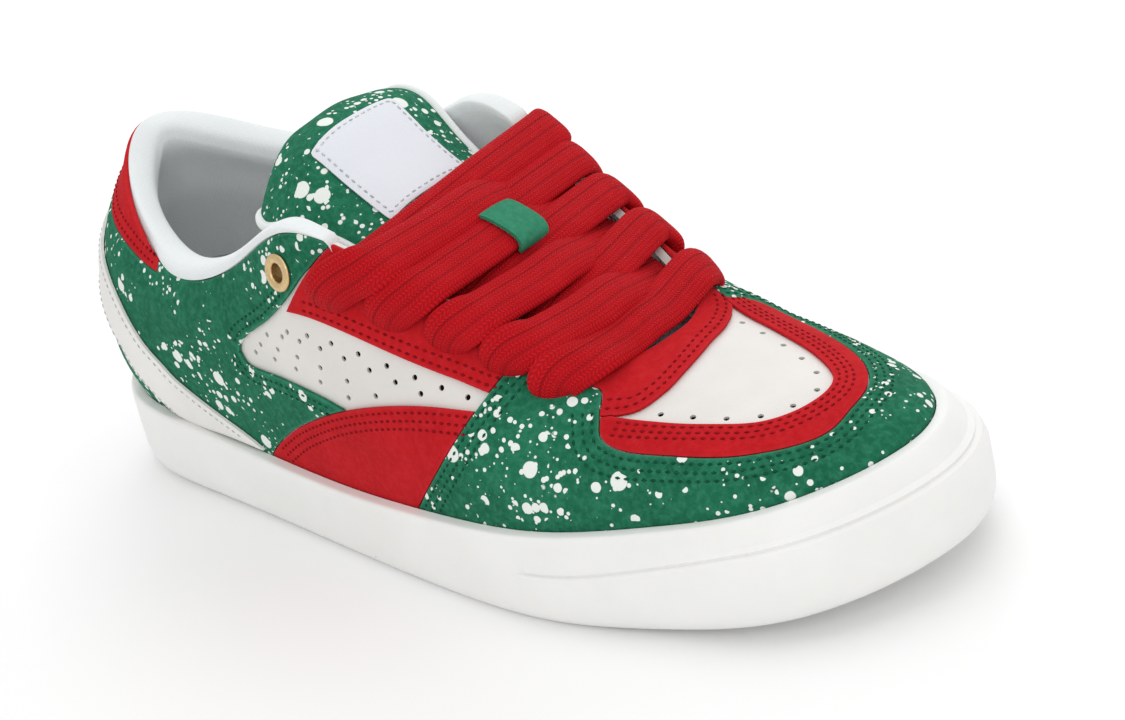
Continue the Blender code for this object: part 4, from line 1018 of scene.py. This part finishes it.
# A Geometry Nodes tree that sets small shapes in rows, each turned along its row and up from the surface
def rowTree(name, shape):
    tree = bpy.data.node_groups.new(name, "GeometryNodeTree")
    face = tree.interface
    face.new_socket("Geometry", in_out="INPUT", socket_type="NodeSocketGeometry")
    for size in ("Pitch", "Length", "Width", "Height", "Lift"):
        face.new_socket(size, in_out="INPUT", socket_type="NodeSocketFloat").default_value = 1.0 * mm
    face.new_socket("Finish", in_out="INPUT", socket_type="NodeSocketMaterial")
    face.new_socket("Geometry", in_out="OUTPUT", socket_type="NodeSocketGeometry")
    given = tree.nodes.new("NodeGroupInput").outputs
    curve = node(tree, "GeometryNodeMeshToCurve", {"Mesh": given["Geometry"]})
    evenly = node(
        tree, "GeometryNodeResampleCurve", {"Curve": curve.outputs[0], "Length": given["Pitch"]},
        mode="LENGTH",
    )
    up = node(tree, "GeometryNodeInputNamedAttribute", {"Name": "up"}, data_type="FLOAT_VECTOR").outputs[0]
    run = node(tree, "GeometryNodeInputTangent").outputs[0]
    aimed = node(tree, "FunctionNodeAlignRotationToVector", {"Vector": run}, axis="X")
    stood = node(
        tree, "FunctionNodeAlignRotationToVector", {"Rotation": aimed.outputs[0], "Vector": up},
        axis="Z", pivot_axis="X",
    )
    if shape == "stitch":
        small = node(tree, "GeometryNodeMeshUVSphere", {"Segments": 8, "Rings": 5, "Radius": 0.5})
    else:
        small = node(tree, "GeometryNodeMeshCylinder", {"Vertices": 14, "Radius": 0.5, "Depth": 1.0})
    sizes = node(tree, "ShaderNodeCombineXYZ", {0: given["Length"], 1: given["Width"], 2: given["Height"]})
    scaled = node(tree, "GeometryNodeTransform", {"Geometry": small.outputs[0], "Scale": sizes.outputs[0]})
    rise = node(tree, "ShaderNodeVectorMath", {0: up, "Scale": given["Lift"]}, operation="SCALE")
    lifted = node(tree, "GeometryNodeSetPosition", {"Geometry": evenly.outputs[0], "Offset": rise.outputs[0]})
    placed = node(
        tree, "GeometryNodeInstanceOnPoints",
        {"Points": lifted.outputs[0], "Instance": scaled.outputs[0], "Rotation": stood.outputs[0]},
    )
    real = node(tree, "GeometryNodeRealizeInstances", {"Geometry": placed.outputs[0]})
    done = node(tree, "GeometryNodeSetMaterial", {"Geometry": real.outputs[0], "Material": given["Finish"]})
    tree.links.new(done.outputs[0], tree.nodes.new("NodeGroupOutput").inputs[0])
    return tree


def setRows(name, tree, paths, look, **sizes):  # paths are pairs of points and their up directions
    points = np.concatenate([p for p, _ in paths])
    ups = np.concatenate([n for _, n in paths])
    edges, start = [], 0
    for p, _ in paths:
        edges += [(start + k, start + k + 1) for k in range(len(p) - 1)]
        start += len(p)
    mesh = meshFrom(name, points, [], edges)
    upLayer = mesh.attributes.new("up", "FLOAT_VECTOR", "POINT")
    upLayer.data.foreach_set("vector", ups.astype(np.float32).ravel())
    made = addObject(name, mesh)
    rows = made.modifiers.new("rows", "NODES")
    rows.node_group = tree
    for item in tree.interface.items_tree:
        if item.in_out == "INPUT" and item.name in sizes:
            rows[item.identifier] = sizes[item.name]
        if item.in_out == "INPUT" and item.name == "Finish":
            rows[item.identifier] = look
    settle(made)
    made.data.shade_smooth()
    return made


stitchTree = rowTree("stitchRows", "stitch")
# Its cylinder rows are the dark discs painted as shade in the needle holes
shadeDiscTree = rowTree("shadeDiscRows", "cylinder")


def surfaceLine(us, vs, lift):
    return skin(us, vs, lift), upperNormal(us, vs)


def ribEdge(table, which, first=0.0, final=1.0, count=160):
    table = np.asarray(table, float)
    s = np.linspace(first, final, count)
    if which in ("top", "bottom"):
        k = table.shape[1] - 2 if which == "top" else 0
        return openSpline(table[:, k])(s), openSpline(table[:, k + 1])(s)
    row = table[0 if which == "front" else -1]
    us, vs = row[0::2][-2:], row[1::2][-2:]
    return us[0] + (us[1] - us[0]) * s, vs[0] + (vs[1] - vs[0]) * s


def insetLine(us, vs, distance):  # to the left of its run over the surface when distance is positive
    place = upperPoint(us, vs)
    away = np.cross(upperNormal(us, vs), np.gradient(place, axis=0))
    away /= np.linalg.norm(away, axis=-1, keepdims=True)
    shiftU, shiftV = surfaceShift(us, vs, away * distance)
    return us + shiftU, vs + shiftV


def pins(name, places, radius, low, high, sides=18):  # one joined mesh of short pegs through the surface
    work = bmesh.new()
    for station, height in places:
        normal = Vector(upperNormal(station, height))
        foot = Vector(skin(station, height) - np.array(shoe["middle"])) + normal * (low + high) / 2
        bmesh.ops.create_cone(
            work, cap_ends=True, segments=sides, radius1=radius, radius2=radius, depth=high - low,
            matrix=Matrix.Translation(foot) @ normal.to_track_quat("Z", "Y").to_matrix().to_4x4(),
        )
    mesh = bpy.data.meshes.new(name)
    work.to_mesh(mesh)
    work.free()
    return mesh


def spaced(us, vs, pitch):  # places along a line on the surface, evenly apart
    place = upperPoint(us, vs)
    length = np.concatenate([[0], np.cumsum(np.linalg.norm(np.diff(place, axis=0), axis=1))])
    at = np.linspace(0, length[-1], int(round(length[-1] / pitch)) + 1)
    return list(zip(np.interp(at, length, us), np.interp(at, length, vs)))


perforations = []
for first, final, count in sideRows:
    for flip in (False, True):
        us, vs = np.linspace(first[0], final[0], count), np.linspace(first[1], final[1], count)
        perforations += zip(20 - us if flip else us, vs)
vampLine = insetLine(*ribEdge(ribs["vampTrim"], "top", 0.06, 0.94), holeLook["vampInset"])
perforations += spaced(*vampLine, holeLook["vampPitch"])
radius = holeLook["perforation"]
punch = pins("perforationPunch", perforations, radius, -4 * mm, 2 * mm)
cut(upperShell, addCutter("perforationPunch", punch), "DIFFERENCE")
# Painted shade: dark discs inside the wall make the perforations read dark
shadeDiscs = pins("perforationShadeDiscs", perforations, 0.94 * radius, -1.6 * mm, -0.7 * mm)
dress(addObject("perforationShadeDiscs", shadeDiscs, finish["paintedHoleShade"]), None)
for side in ("Outer", "Inner"):
    turn = (lambda u: u) if side == "Outer" else (lambda u: 20 - u)
    barrel = eyelet["barrel"] + shoe["gap"]
    bore = boreAt("eyeletBore" + side, turn(eyelet["station"]), eyelet["height"], barrel)
    for made in (upperShell, panels["quarter" + side][0]):
        cut(made, bore, "DIFFERENCE")
    for k, (station, height) in enumerate(laceHoles):
        bore = boreAt("laceBore%s%d" % (side, k), turn(station), height, holeLook["lace"])
        cut(upperShell, bore, "DIFFERENCE")
        cut(panels["toeMudguard" if k == 4 else "eyestay" + side][0], bore, "DIFFERENCE")
        if k == 3:
            cut(panels["toeMudguard"][0], bore, "DIFFERENCE")
settle(upperShell)
upperShell.data.shade_smooth()
upperShell.data.set_sharp_from_angle(angle=math.radians(50))
dress(upperShell, "upper")
for name, (made, cadNode, high) in panels.items():
    settle(made)
    softenRim(made, high)
    dress(made, cadNode)
    print("panel", name, len(made.data.polygons))


# Insole: a flat pad with a rounded rim on the cup floor
insoleLook = {
    "columns": 240, "clear": 0.9 * mm,
    # share of the pad's thickness, inset in mm
    "rim": ((0.0, 0.9), (0.12, 0.35), (0.35, 0.05), (0.6, 0.0), (0.8, 0.25), (0.93, 0.8), (1.0, 1.8)),
}


def insoleLoop(u):
    edge = skin(u, -0.9, -shoe["upperWall"] - insoleLook["clear"], False)
    away = np.array([*outline(u)[2:], 0.0])
    low = floorZ(edge[0]) + shoe["gap"]
    points = []
    for share, inset in insoleLook["rim"]:
        point = edge - away * inset * mm
        point[2] = low + share * shoe["insoleThick"]
        points.append(point)
    return points


insoleStations = np.linspace(0, 20, insoleLook["columns"], endpoint=False)
insoleMesh = traySolid("insolePad", [insoleLoop(u) for u in insoleStations])
dress(addObject("insolePad", insoleMesh, finish["insoleCloth"]), "insole")


# Collar lining: foam under cloth, rolled over the collar edge and down inside the wall
collar = {"end": 5.42, "taper": 4.60, "full": 6.2 * mm, "thin": 2.8 * mm, "roll": 5.6 * mm, "columns": 320}


def liningLoop(u):
    side = abs(u)
    thin = float(ease((side - 3.2) / 1.5))
    pad = collar["full"] + (collar["thin"] - collar["full"]) * thin
    roll = collar["roll"] * (1 - 0.25 * thin)
    ending = float(ease((side - collar["taper"]) / (collar["end"] - collar["taper"])))
    roll *= 1 - 0.60 * ending
    pad *= 1 - 0.55 * ending
    behind = shoe["upperWall"] + shoe["gap"]
    edge = skin(u, 1.0, 0.0)
    normal = upperNormal(u, 1.0)
    rise = upperPoint(u, 1.02) - upperPoint(u, 1.0)
    rise /= np.linalg.norm(rise)
    tab = float(ease((2.95 - side) / 0.7))
    cover = (overlayHigh + 0.3 * mm) * (1 - tab) - 0.7 * mm * tab
    knots = np.array([
        # along the wall past the edge, out from the wall's face
        (0.35 * mm, -0.8 * mm), (0.35 * mm, cover), (0.45 * roll, cover + 0.5 * mm),
        (0.85 * roll, 0.2 * mm), (1.00 * roll, -behind - 0.25 * pad),
        (0.85 * roll, -behind - 0.75 * pad), (0.20 * roll, -behind - 1.10 * pad),
    ])
    along, out = openSpline(knots[1:, 0]), openSpline(knots[1:, 1])
    shares = np.linspace(0, 1, 22)
    crown = [knots[0]] + [(along(s), out(s)) for s in shares]
    crown = [edge + rise * a + normal * b for a, b in crown]
    outside = list(skin(u, np.linspace(0.40, 1.0, 10), -behind))
    heights = np.linspace(1.0, 0.22, 16)
    depth = np.interp(heights, (0.22, 0.40, 0.62, 0.82, 1.0), (0.12, 0.45, 0.85, 1.05, 1.10))
    inside = list(skin(u, heights, -behind - depth * pad))[1:]
    low = list(skin(u, np.linspace(0.24, 0.38, 4), -behind))
    return low + outside + crown + inside


def rolledEnd(loops):  # draws the first and last loops in, so the padding ends round
    loops = np.array(loops)
    middle = loops.mean(1, keepdims=True)
    for k, share in enumerate((0.55, 0.82, 0.95)):
        for row in (k, len(loops) - 1 - k):
            loops[row] = middle[row] + (loops[row] - middle[row]) * share
    return loops


liningStations = np.linspace(-collar["end"], collar["end"], collar["columns"])
liningMesh = ringSolid("collarRoll", rolledEnd([liningLoop(u) for u in liningStations]), False, 55)
liningRoll = dress(addObject("collarRoll", liningMesh, finish["lining"]), "collar_lining")


# Tongue: suede over foam at the top, grey mesh further down, white binding round the edge
tongueLook = {"rows": 120, "wide": 56, "suedeEnd": 0.152, "tube": 1.5 * mm, "sides": 14}
tongueStations = (
    # x of length, z of collar height, half width of ball width, edge drop and thickness in mm
    (0.3290, 1.020, 0.185, 5.0, 2.0),
    (0.3350, 1.078, 0.232, 7.5, 8.5),
    (0.3530, 1.110, 0.262, 9.5, 12.5),
    (0.3900, 1.108, 0.270, 10.0, 13.0),
    (0.4340, 1.026, 0.258, 9.0, 12.0),
    (0.4800, 0.937, 0.248, 8.0, 10.0),
    (0.5430, 0.820, 0.245, 7.0, 8.0),
    (0.6200, 0.686, 0.225, 5.5, 6.0),
    (0.6870, 0.575, 0.195, 4.5, 4.6),
    (0.7230, 0.527, 0.170, 3.5, 3.6),
    (0.7600, 0.500, 0.145, 3.0, 2.8),
    (0.7950, 0.478, 0.120, 2.5, 1.6),
)
tongueX, tongueZ, tongueHalf, tongueDrop, tongueThick = (openSpline(c) for c in zip(*tongueStations))


tongueLean = {"end": 0.44, "y": 3.5 * mm, "z": 2.2 * mm, "wide": 3.0 * mm, "full": 0.45, "wrap": 1.15}


def tongueTop(share, across, lift=0.0):  # share runs from the free end to the root, across from -1 to 1
    share, across = np.broadcast_arrays(np.asarray(share, float), np.asarray(across, float))
    x = tongueX(share) * shoe["length"]
    free = ease((tongueLean["end"] - share) / tongueLean["end"] * 1.6)  # how far it leans to the inner side
    lean = free * (tongueLean["y"] - tongueLean["wide"] * np.maximum(-across, 0))
    y = across * tongueHalf(share) * shoe["ballWidth"] + lean
    wrap = np.where(across > 0, 1 - tongueLean["full"] * free, 1 + tongueLean["wrap"] * free)
    fall = tongueDrop(share) * mm * wrap
    z = tongueZ(share) * shoe["collarHeight"] + tongueLean["z"] * free - fall * np.abs(across) ** 2.6
    step = 1e-3
    dx = (tongueX(share + step) - tongueX(share - step)) * shoe["length"]
    dz = (tongueZ(share + step) - tongueZ(share - step)) * shoe["collarHeight"]
    size = np.maximum(np.hypot(dx, dz), 1e-9)
    side = tongueDrop(share) * mm * 2.6 * np.abs(across) ** 1.6 * np.sign(across)
    slope = side / (tongueHalf(share) * shoe["ballWidth"])
    normal = np.stack([-dz / size, slope, dx / size], -1)
    normal /= np.linalg.norm(normal, axis=-1, keepdims=True)
    return np.stack([x, y, z], -1) + normal * np.asarray(lift)[..., None]


def tongueLoop(share):
    a = np.sin(np.linspace(-math.pi / 2, math.pi / 2, tongueLook["wide"]))
    soft = 0.30 * mm * np.sin(7 * a + 40 * share) * (1 - a * a)
    top = tongueTop(share, a, soft)
    depth = tongueThick(share) * mm * (1 - np.abs(a[1:-1]) ** 3) ** 0.5
    return list(top) + list(tongueTop(share, a[1:-1], -depth)[::-1])


tongueShares = np.linspace(0, 1, tongueLook["rows"]) ** 1.15
tongueMesh = ringSolid("tonguePad", [tongueLoop(s) for s in tongueShares], False, 60)
tonguePad = addObject("tonguePad", tongueMesh, finish["spottedSuede"], finish["greyMesh"], finish["lining"])
edgeLayer = tongueMesh.attributes.new("edge", "FLOAT", "POINT")
edgeLayer.data.foreach_set("value", np.full(len(tongueMesh.vertices), 1.0, np.float32))
# Each loop of the tongue holds its top from edge to edge, then its inner face
tongueRing = 2 * tongueLook["wide"] - 2
for face in tongueMesh.polygons:
    places = [k % tongueRing for k in face.vertices]
    inner = all(k == 0 or k >= tongueLook["wide"] - 1 for k in places)
    outerLook = 0 if face.center.x + shoe["middle"][0] < tongueLook["suedeEnd"] else 1
    face.material_index = 2 if inner or face.normal.z < -0.05 else outerLook
dress(tonguePad, "tongue")


def tubeAlong(name, path, radius, sides, look):  # a round cord along a path, closed at both ends
    path = np.asarray(path)
    runs = np.gradient(path, axis=0)
    runs /= np.linalg.norm(runs, axis=1, keepdims=True)
    side = np.cross(runs, np.array([0, 0, 1.0]))
    side /= np.maximum(np.linalg.norm(side, axis=1, keepdims=True), 1e-9)
    other = np.cross(runs, side)
    turn = np.linspace(0, 2 * math.pi, sides, endpoint=False)
    size = radius * np.clip(np.minimum(np.arange(len(path)), np.arange(len(path))[::-1]) / 3 + 0.25, 0, 1)
    loops = path[:, None] + size[:, None, None] * (
        side[:, None] * np.cos(turn)[None, :, None] + other[:, None] * np.sin(turn)[None, :, None]
    )
    return addObject(name, ringSolid(name, loops, False, 50), look)


def tongueBinding():
    shares = np.linspace(0.86, 0.034, 96)
    down = [tongueTop(s, -1.0, -0.2 * mm) for s in shares]
    across = [tongueTop(0.030, a, -0.5 * mm) for a in np.linspace(-0.97, 0.97, 60)]
    up = [tongueTop(s, 1.0, -0.2 * mm) for s in shares[::-1]]
    return down + across + up


tube, sides = tongueLook["tube"], tongueLook["sides"]
binding = tubeAlong("tongueBinding", tongueBinding(), tube, sides, finish["binding"])
dress(binding, "tongue")

# Woven label, blank
label = {
    "side": 31.6 * mm, "thick": 0.8 * mm, "first": 0.390, "tilt": 31.6, "low": 0.45 * mm, "seam": 1.7 * mm,
}


def shareAt(x):
    shares = np.linspace(0, 1, 801)
    return float(np.interp(x, tongueX(shares) * shoe["length"], shares))


def stripOnTongue(name, first, final, half, low, high, count=40, wide=30):
    loops = []
    for x in np.linspace(first, final, count):
        share = shareAt(x)
        reach = half / float(tongueHalf(share) * shoe["ballWidth"])
        end = min(x - first, final - x)
        draw = 1 - 0.035 * max(0.0, 1 - end / (1.3 * mm)) ** 2
        places = np.linspace(-reach, reach, wide) * draw
        rounding = 1 - 0.45 * np.abs(np.linspace(-1, 1, wide)) ** 24
        endRounding = 1 - 0.4 * max(0.0, 1 - end / (0.7 * mm)) ** 2
        face = tongueTop(share, places[::-1], low + (high - low) * rounding[::-1] * endRounding)
        loops.append(list(tongueTop(share, places, low)) + list(face))
    return ringSolid(name, loops, False, 60)


labelStart = label["first"] * shoe["length"]
labelRun = label["side"] * math.cos(math.radians(label["tilt"]))
labelTop = label["low"] + label["thick"]
labelMesh = stripOnTongue(
    "tongueLabel", labelStart, labelStart + labelRun, label["side"] / 2, label["low"], labelTop
)
dress(addObject("tongueLabel", labelMesh, finish["labelCloth"]), "tongue_label")


# Eyelets
def turnedRing(name, centre, normal, profile, segments, look):
    side = np.cross(normal, (0.0, 0.0, 1.0))
    side /= np.linalg.norm(side)
    other = np.cross(normal, side)
    loops = []
    for turn in np.linspace(0, 2 * math.pi, segments, endpoint=False):
        out = side * math.cos(turn) + other * math.sin(turn)
        loops.append([centre + out * r + normal * h for r, h in profile])
    return addObject(name, ringSolid(name, loops, True, 60), look)


def eyeletProfile():  # pairs of radius and height over the surface
    seat = overlayHigh + 0.1 * mm
    foot = -shoe["upperWall"] + 0.3 * mm
    hole, outer, barrel = eyelet["hole"], eyelet["outer"], eyelet["barrel"]
    crown = [
        (hole + (outer - hole) * (0.5 - 0.5 * math.cos(t)), seat + 0.10 * mm + 1.0 * mm * math.sin(t) ** 0.8)
        for t in np.linspace(0.02, math.pi - 0.02, 13)
    ]
    return [(hole, foot)] + crown + [(outer - 0.15 * mm, seat), (barrel, seat), (barrel, foot)]


profile = eyeletProfile()
for side, station in (("Outer", eyelet["station"]), ("Inner", 20 - eyelet["station"])):
    centre = skin(station, eyelet["height"], 0.0)
    ring = turnedRing(
        "topEyelet" + side, centre, upperNormal(station, eyelet["height"]), profile, 56, finish["gilt"]
    )
    dress(ring, "eyelet_lateral" if side == "Outer" else "eyelet_medial")
print("collar, tongue, label and eyelets")


# Laces: wide flat braid, crossed over the tongue, with each end tucked into its hole
laces = {
    "width": 13.8 * mm, "thick": 4.9 * mm, "clear": 0.6 * mm, "pointsAcross": 28, "step": 0.9 * mm,
    "soft": 3.2 * mm, "across": (0.36, 0.0, -0.36),
    # lift over the tongue at those three places, in thicknesses
    "outerLifts": (0.90, 0.92, 0.55), "innerLifts": (0.70, 0.15, 0.0), "frontLifts": (0.4, 0.6, 0.4),
}
laceRuns = (
    # where a strand crosses the near edge, its share of the tongue, where it goes under the far edge
    ((5.76, 0.520, 5.78), (5.62, 0.492, 5.58)),
    ((6.19, 0.566, 6.15), (6.04, 0.540, 5.94)),
    ((6.83, 0.626, 6.85), (6.56, 0.591, 6.45)),
    ((7.49, 0.688, 7.50), (7.37, 0.656, 7.09)),
    ((8.20, 0.738, 7.90), None),
)


def smoothPath(points, step, soft=laces["soft"]):  # evenly spaced along the path, with its corners rounded
    points = np.asarray(points, float)
    length = np.concatenate([[0], np.cumsum(np.linalg.norm(np.diff(points[:, :3], axis=0), axis=1))])
    at = np.linspace(0, length[-1], int(length[-1] / step) + 2)
    path = np.stack([np.interp(at, length, points[:, k]) for k in range(points.shape[1])], 1)
    for _ in range(int(2 * (soft / step) ** 2)):
        path[1:-1] = 0.5 * path[1:-1] + 0.25 * (path[:-2] + path[2:])
    return path, at


def ribbon(name, centres, widths, tuckFinal):  # its first end is always tucked into a hole
    both, at = smoothPath(np.concatenate([centres, widths], 1), laces["step"])
    path, wide = both[:, :3], both[:, 3:]
    run = np.gradient(path, axis=0)
    run /= np.linalg.norm(run, axis=1, keepdims=True)
    wide -= run * (wide * run).sum(1, keepdims=True)
    wide /= np.linalg.norm(wide, axis=1, keepdims=True)
    thick = np.cross(run, wide)
    halfW = np.full(len(path), laces["width"] / 2)
    halfT = np.full(len(path), laces["thick"] / 2)
    for tucked, fromEnd in ((True, at), (tuckFinal, at[-1] - at)):
        if tucked:
            near = np.clip(fromEnd / (1.05 * laces["width"] / 2), 0, 1)
            halfW *= 0.42 + 0.58 * np.sqrt(1 - (1 - near) ** 2)
            halfT *= 0.55 + 0.45 * np.sqrt(1 - (1 - near) ** 2)
    turn = np.linspace(0, 2 * math.pi, laces["pointsAcross"], endpoint=False)
    a = np.sign(np.cos(turn)) * np.abs(np.cos(turn)) ** 0.74
    b = np.sign(np.sin(turn)) * np.abs(np.sin(turn)) ** 0.90
    sideways = wide[:, None] * (halfW[:, None] * a)[..., None]
    loops = path[:, None] + sideways + thick[:, None] * (halfT[:, None] * b)[..., None]
    mesh = ringSolid(name, loops, False, 60)
    rowOf = np.repeat(at * 1000, len(turn))
    acrossOf = (halfW[:, None] * 1000 * a[None, :]).ravel()
    corner = np.empty(len(mesh.loops), np.int32)
    mesh.loops.foreach_get("vertex_index", corner)
    mesh.uv_layers.new(name="laceMap").data.foreach_set(
        "uv", np.stack([rowOf[corner], acrossOf[corner]], 1).astype(np.float32).ravel()
    )
    return addObject(name, mesh, finish["lace"])


strandPaths = {}


def strand(name, k, fromOuter):
    raised = overlayHigh + laces["thick"] / 2 + 0.1 * mm
    near = (lambda u: u) if fromOuter else (lambda u: 20 - u)
    far = (lambda u: 20 - u) if fromOuter else (lambda u: u)
    sign = -1 if fromOuter else 1
    hole, height = laceHoles[k]
    run = laceRuns[k][0 if fromOuter else 1]
    edge, share, end = run if fromOuter else (run[2], run[1], run[0])
    climb = 1.2 * mm if k == 0 else 0.0
    path = [
        skin(near(hole - 0.06), height - 0.055, -0.3 * mm),
        skin(near(hole), height + 0.01, raised),
        skin(near((hole + edge) / 2), (height + 1) / 2 + 0.01, raised + 0.6 * climb),
        skin(near(edge), 1.0, raised + climb),
    ]
    base = laces["thick"] / 2 + laces["clear"]
    front = k == len(laceRuns) - 1
    lifts = laces["frontLifts" if front else "outerLifts" if fromOuter else "innerLifts"]
    for across, lift in zip(laces["across"], lifts):
        path.append(tongueTop(share, across * sign, base + lift * laces["thick"]))
    if front:
        path.append(skin(far(end), 1.0, raised))
        path.append(skin(far((hole + end) / 2), (height + 1) / 2 + 0.01, raised))
        path += [skin(far(hole), height + 0.01, raised), skin(far(hole - 0.06), height - 0.055, -0.3 * mm)]
    else:
        path.append(skin(far(end), 0.965, -shoe["upperWall"] - laces["thick"] / 2 - 0.4 * mm))
    widths = []
    for i in range(len(path)):
        u = near(edge) if i < 4 else far(end)
        level = skin(u + 0.1, 0.95) - skin(u - 0.1, 0.95)
        level /= np.linalg.norm(level) * np.sign(level[0])
        widths.append(level if i < 4 or i > 6 else np.array([1.0, 0.0, -0.50]))
    strandPaths[name] = path
    return ribbon(name, path, widths, front)


strands = []
for k, (outer, inner) in enumerate(laceRuns):
    strands.append(strand("laceOuter%d" % k, k, True))
    if inner:
        strands.append(strand("laceInner%d" % k, k, False))
for made in strands:
    dress(made, "laces" if made is strands[0] else None)

# Keeper: a suede strap round the top of the second strand
keeper = {
    "run": 11.0 * mm, "thick": 1.1 * mm, "clear": 0.35 * mm, "step": 0.5 * mm, "slant": (1.0, 0.0, -0.45),
}


def keeperStrap():
    path = strandPaths["laceOuter1"]
    dense, _ = smoothPath(path, keeper["step"])
    middle = int(np.argmin(np.linalg.norm(dense - path[5], axis=1)))
    count = int(keeper["run"] / 2 / keeper["step"])
    rows = dense[middle - count: middle + count + 1]
    run = np.gradient(rows, axis=0)
    run /= np.linalg.norm(run, axis=1, keepdims=True)
    slant = np.array(keeper["slant"])
    wide = slant - run * (run @ slant)[:, None]
    wide /= np.linalg.norm(wide, axis=1, keepdims=True)
    thick = np.cross(run, wide)
    thick *= np.sign(thick[:, 2:3])
    turn = np.linspace(-0.10 * math.pi, 1.10 * math.pi, 34)
    a = np.sign(np.cos(turn)) * np.abs(np.cos(turn)) ** 0.62
    b = np.sign(np.sin(turn)) * np.abs(np.sin(turn)) ** 0.80
    loops = []
    for grow in (keeper["clear"], keeper["clear"] + keeper["thick"]):
        halfW, halfT = laces["width"] / 2 + grow, laces["thick"] / 2 + grow
        sideways = wide[:, None] * (a * halfW)[None, :, None]
        loops.append(rows[:, None] + sideways + thick[:, None] * (b * halfT)[None, :, None])
    both = np.concatenate([loops[0], loops[1][:, ::-1]], 1)
    return addObject("laceKeeper", ringSolid("laceKeeper", both, False, 50), finish["greenSuede"])


dress(keeperStrap(), "lace_keeper")
print("laces")


# Stitches: rows of thread over small dark discs, painted shade in the needle holes, set along the panels' edges
stitch = {
    "pitch": 2.4 * mm, "length": 1.55 * mm, "wide": 0.62 * mm, "high": 0.50 * mm,
    "lift": 0.02 * mm, "bandLift": 1.52 * mm, "bandRow": 1.6 * mm,
    # each row's distance from the panel's edge
    "two": (1.7 * mm, 4.1 * mm), "three": (1.6 * mm, 3.8 * mm, 6.0 * mm),
    "trim": (1.5 * mm, 3.4 * mm, 5.3 * mm),
}
# Sizes of the dark discs painted as shade in the needle holes
holeShadeLook = {"Length": 0.85 * mm, "Width": 0.75 * mm, "Height": 0.5 * mm, "Lift": -0.20 * mm}
seams = []  # thread, points, ups


def seamRows(thread, line, insets, lift=overlayHigh + stitch["lift"]):
    us, vs = line
    for inset in insets:
        movedU, movedV = insetLine(us, vs, inset)
        seams.append((thread, *surfaceLine(movedU, movedV, lift)))


two, three = stitch["two"], stitch["three"]
mud = ribs["mudguard"]
seamRows("greenThread", ribEdge(mud, "front", 0.02, 1.0), [-d for d in three])
seamRows("greenThread", ribEdge(mud, "back", 0.02, 1.0), three)
seamRows("greenThread", ribEdge(mud, "top", 0.16, 0.87, 320), [-d for d in three])
seamRows("redThread", ribEdge(ribs["vampTrim"], "top", 0.05, 0.97), [-d for d in stitch["trim"]])
seamRows("redThread", ribEdge(ribs["throatTab"], "bottom", 0.06, 0.97), two)
for side in ("Outer", "Inner"):
    flip = side == "Inner"

    def turned(line):
        return (20 - line[0], line[1]) if flip else line

    sign = -1 if flip else 1
    seamRows("redThread", turned(ribEdge(ribs["eyestay"], "bottom", 0.05, 0.55)), [sign * d for d in two])
    seamRows("redThread", turned(ribEdge(ribs["saddle"], "top", 0.14, 0.93)), [-sign * d for d in three])
    seamRows("greenThread", turned(ribEdge(ribs["window"], "bottom", 0.0, 0.62)), [-sign * d for d in two])
    seamRows("greenThread", turned(ribEdge(ribs["window"], "top", 0.02, 0.60)), [sign * d for d in two])
    bandTop = overlayHigh + stitch["bandLift"]
    for edge, final, way in (("top", 0.97, -sign), ("bottom", 0.82, sign)):
        band = turned(ribEdge(ribs["heelBand"], edge, 0.5, final))
        seamRows("whiteThread", band, [way * stitch["bandRow"]], bandTop)
seamRows("redThread", ribEdge(ribs["heelTab"], "bottom", 0.03, 0.97), two)

labelPath = []
inset = label["seam"]
for a, b in (((0, -1), (0, 1)), ((0, 1), (1, 1)), ((1, 1), (1, -1)), ((1, -1), (0, -1))):
    for t in np.linspace(0, 1, 30):
        run, across = a[0] + (b[0] - a[0]) * t, a[1] + (b[1] - a[1]) * t
        x = labelStart + inset * 0.85 + run * (labelRun - 2 * inset * 0.85)
        share = shareAt(x)
        reach = (label["side"] / 2 - inset) / float(tongueHalf(share) * shoe["ballWidth"])
        labelPath.append((share, across * reach))
labelPath = np.array(labelPath).T
labelLine = tongueTop(*labelPath, labelTop + 0.02 * mm)
labelUp = tongueTop(*labelPath, 1.0) - tongueTop(*labelPath, 0.0)
seams.append(("whiteThread", labelLine, labelUp))

slotOf = {"greenThread": "quarter_lateral", "redThread": "eyestay_lateral", "whiteThread": "heel_band"}
for thread, slot in slotOf.items():
    rows = [(points, ups) for name, points, ups in seams if name == thread]
    made = setRows(
        thread + "Stitches", stitchTree, rows, finish[thread],
        Pitch=stitch["pitch"], Length=stitch["length"], Width=stitch["wide"], Height=stitch["high"], Lift=0.0,
    )
    dress(made, None)
    if thread == "whiteThread":
        continue
    # Painted shade: a dark disc under each stitch for its needle hole
    holeShadeRows = setRows(
        thread + "Holes", shadeDiscTree, rows, finish["paintedHoleShade"],
        Pitch=stitch["pitch"], **holeShadeLook,
    )
    dress(holeShadeRows, None)
print("stitches")

# A white studio floor
floor = {"size": 3.2}
half = floor["size"] / 2
floorMesh = bpy.data.meshes.new("studioFloor")
corners = [(-half, -half, 0), (half, -half, 0), (half, half, 0), (-half, half, 0)]
floorMesh.from_pydata(corners, [], [(0, 1, 2, 3)])
floorLook, floorTree, floorShader = newMaterial("studioWhite")
fill(floorTree, floorShader, {
    "Base Color": (0.95, 0.95, 0.95, 1), "Roughness": 0.9, "Specular IOR Level": 0.1,
})
addObject("studioFloor", floorMesh, floorLook)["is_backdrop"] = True

low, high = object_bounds()
boxes = {"cad": [list(cadLow), list(cadHigh)], "visual": [list(low), list(high)]}
for name, ends in boxes.items():
    print(name, [[round(1000 * value, 2) for value in end] for end in ends])
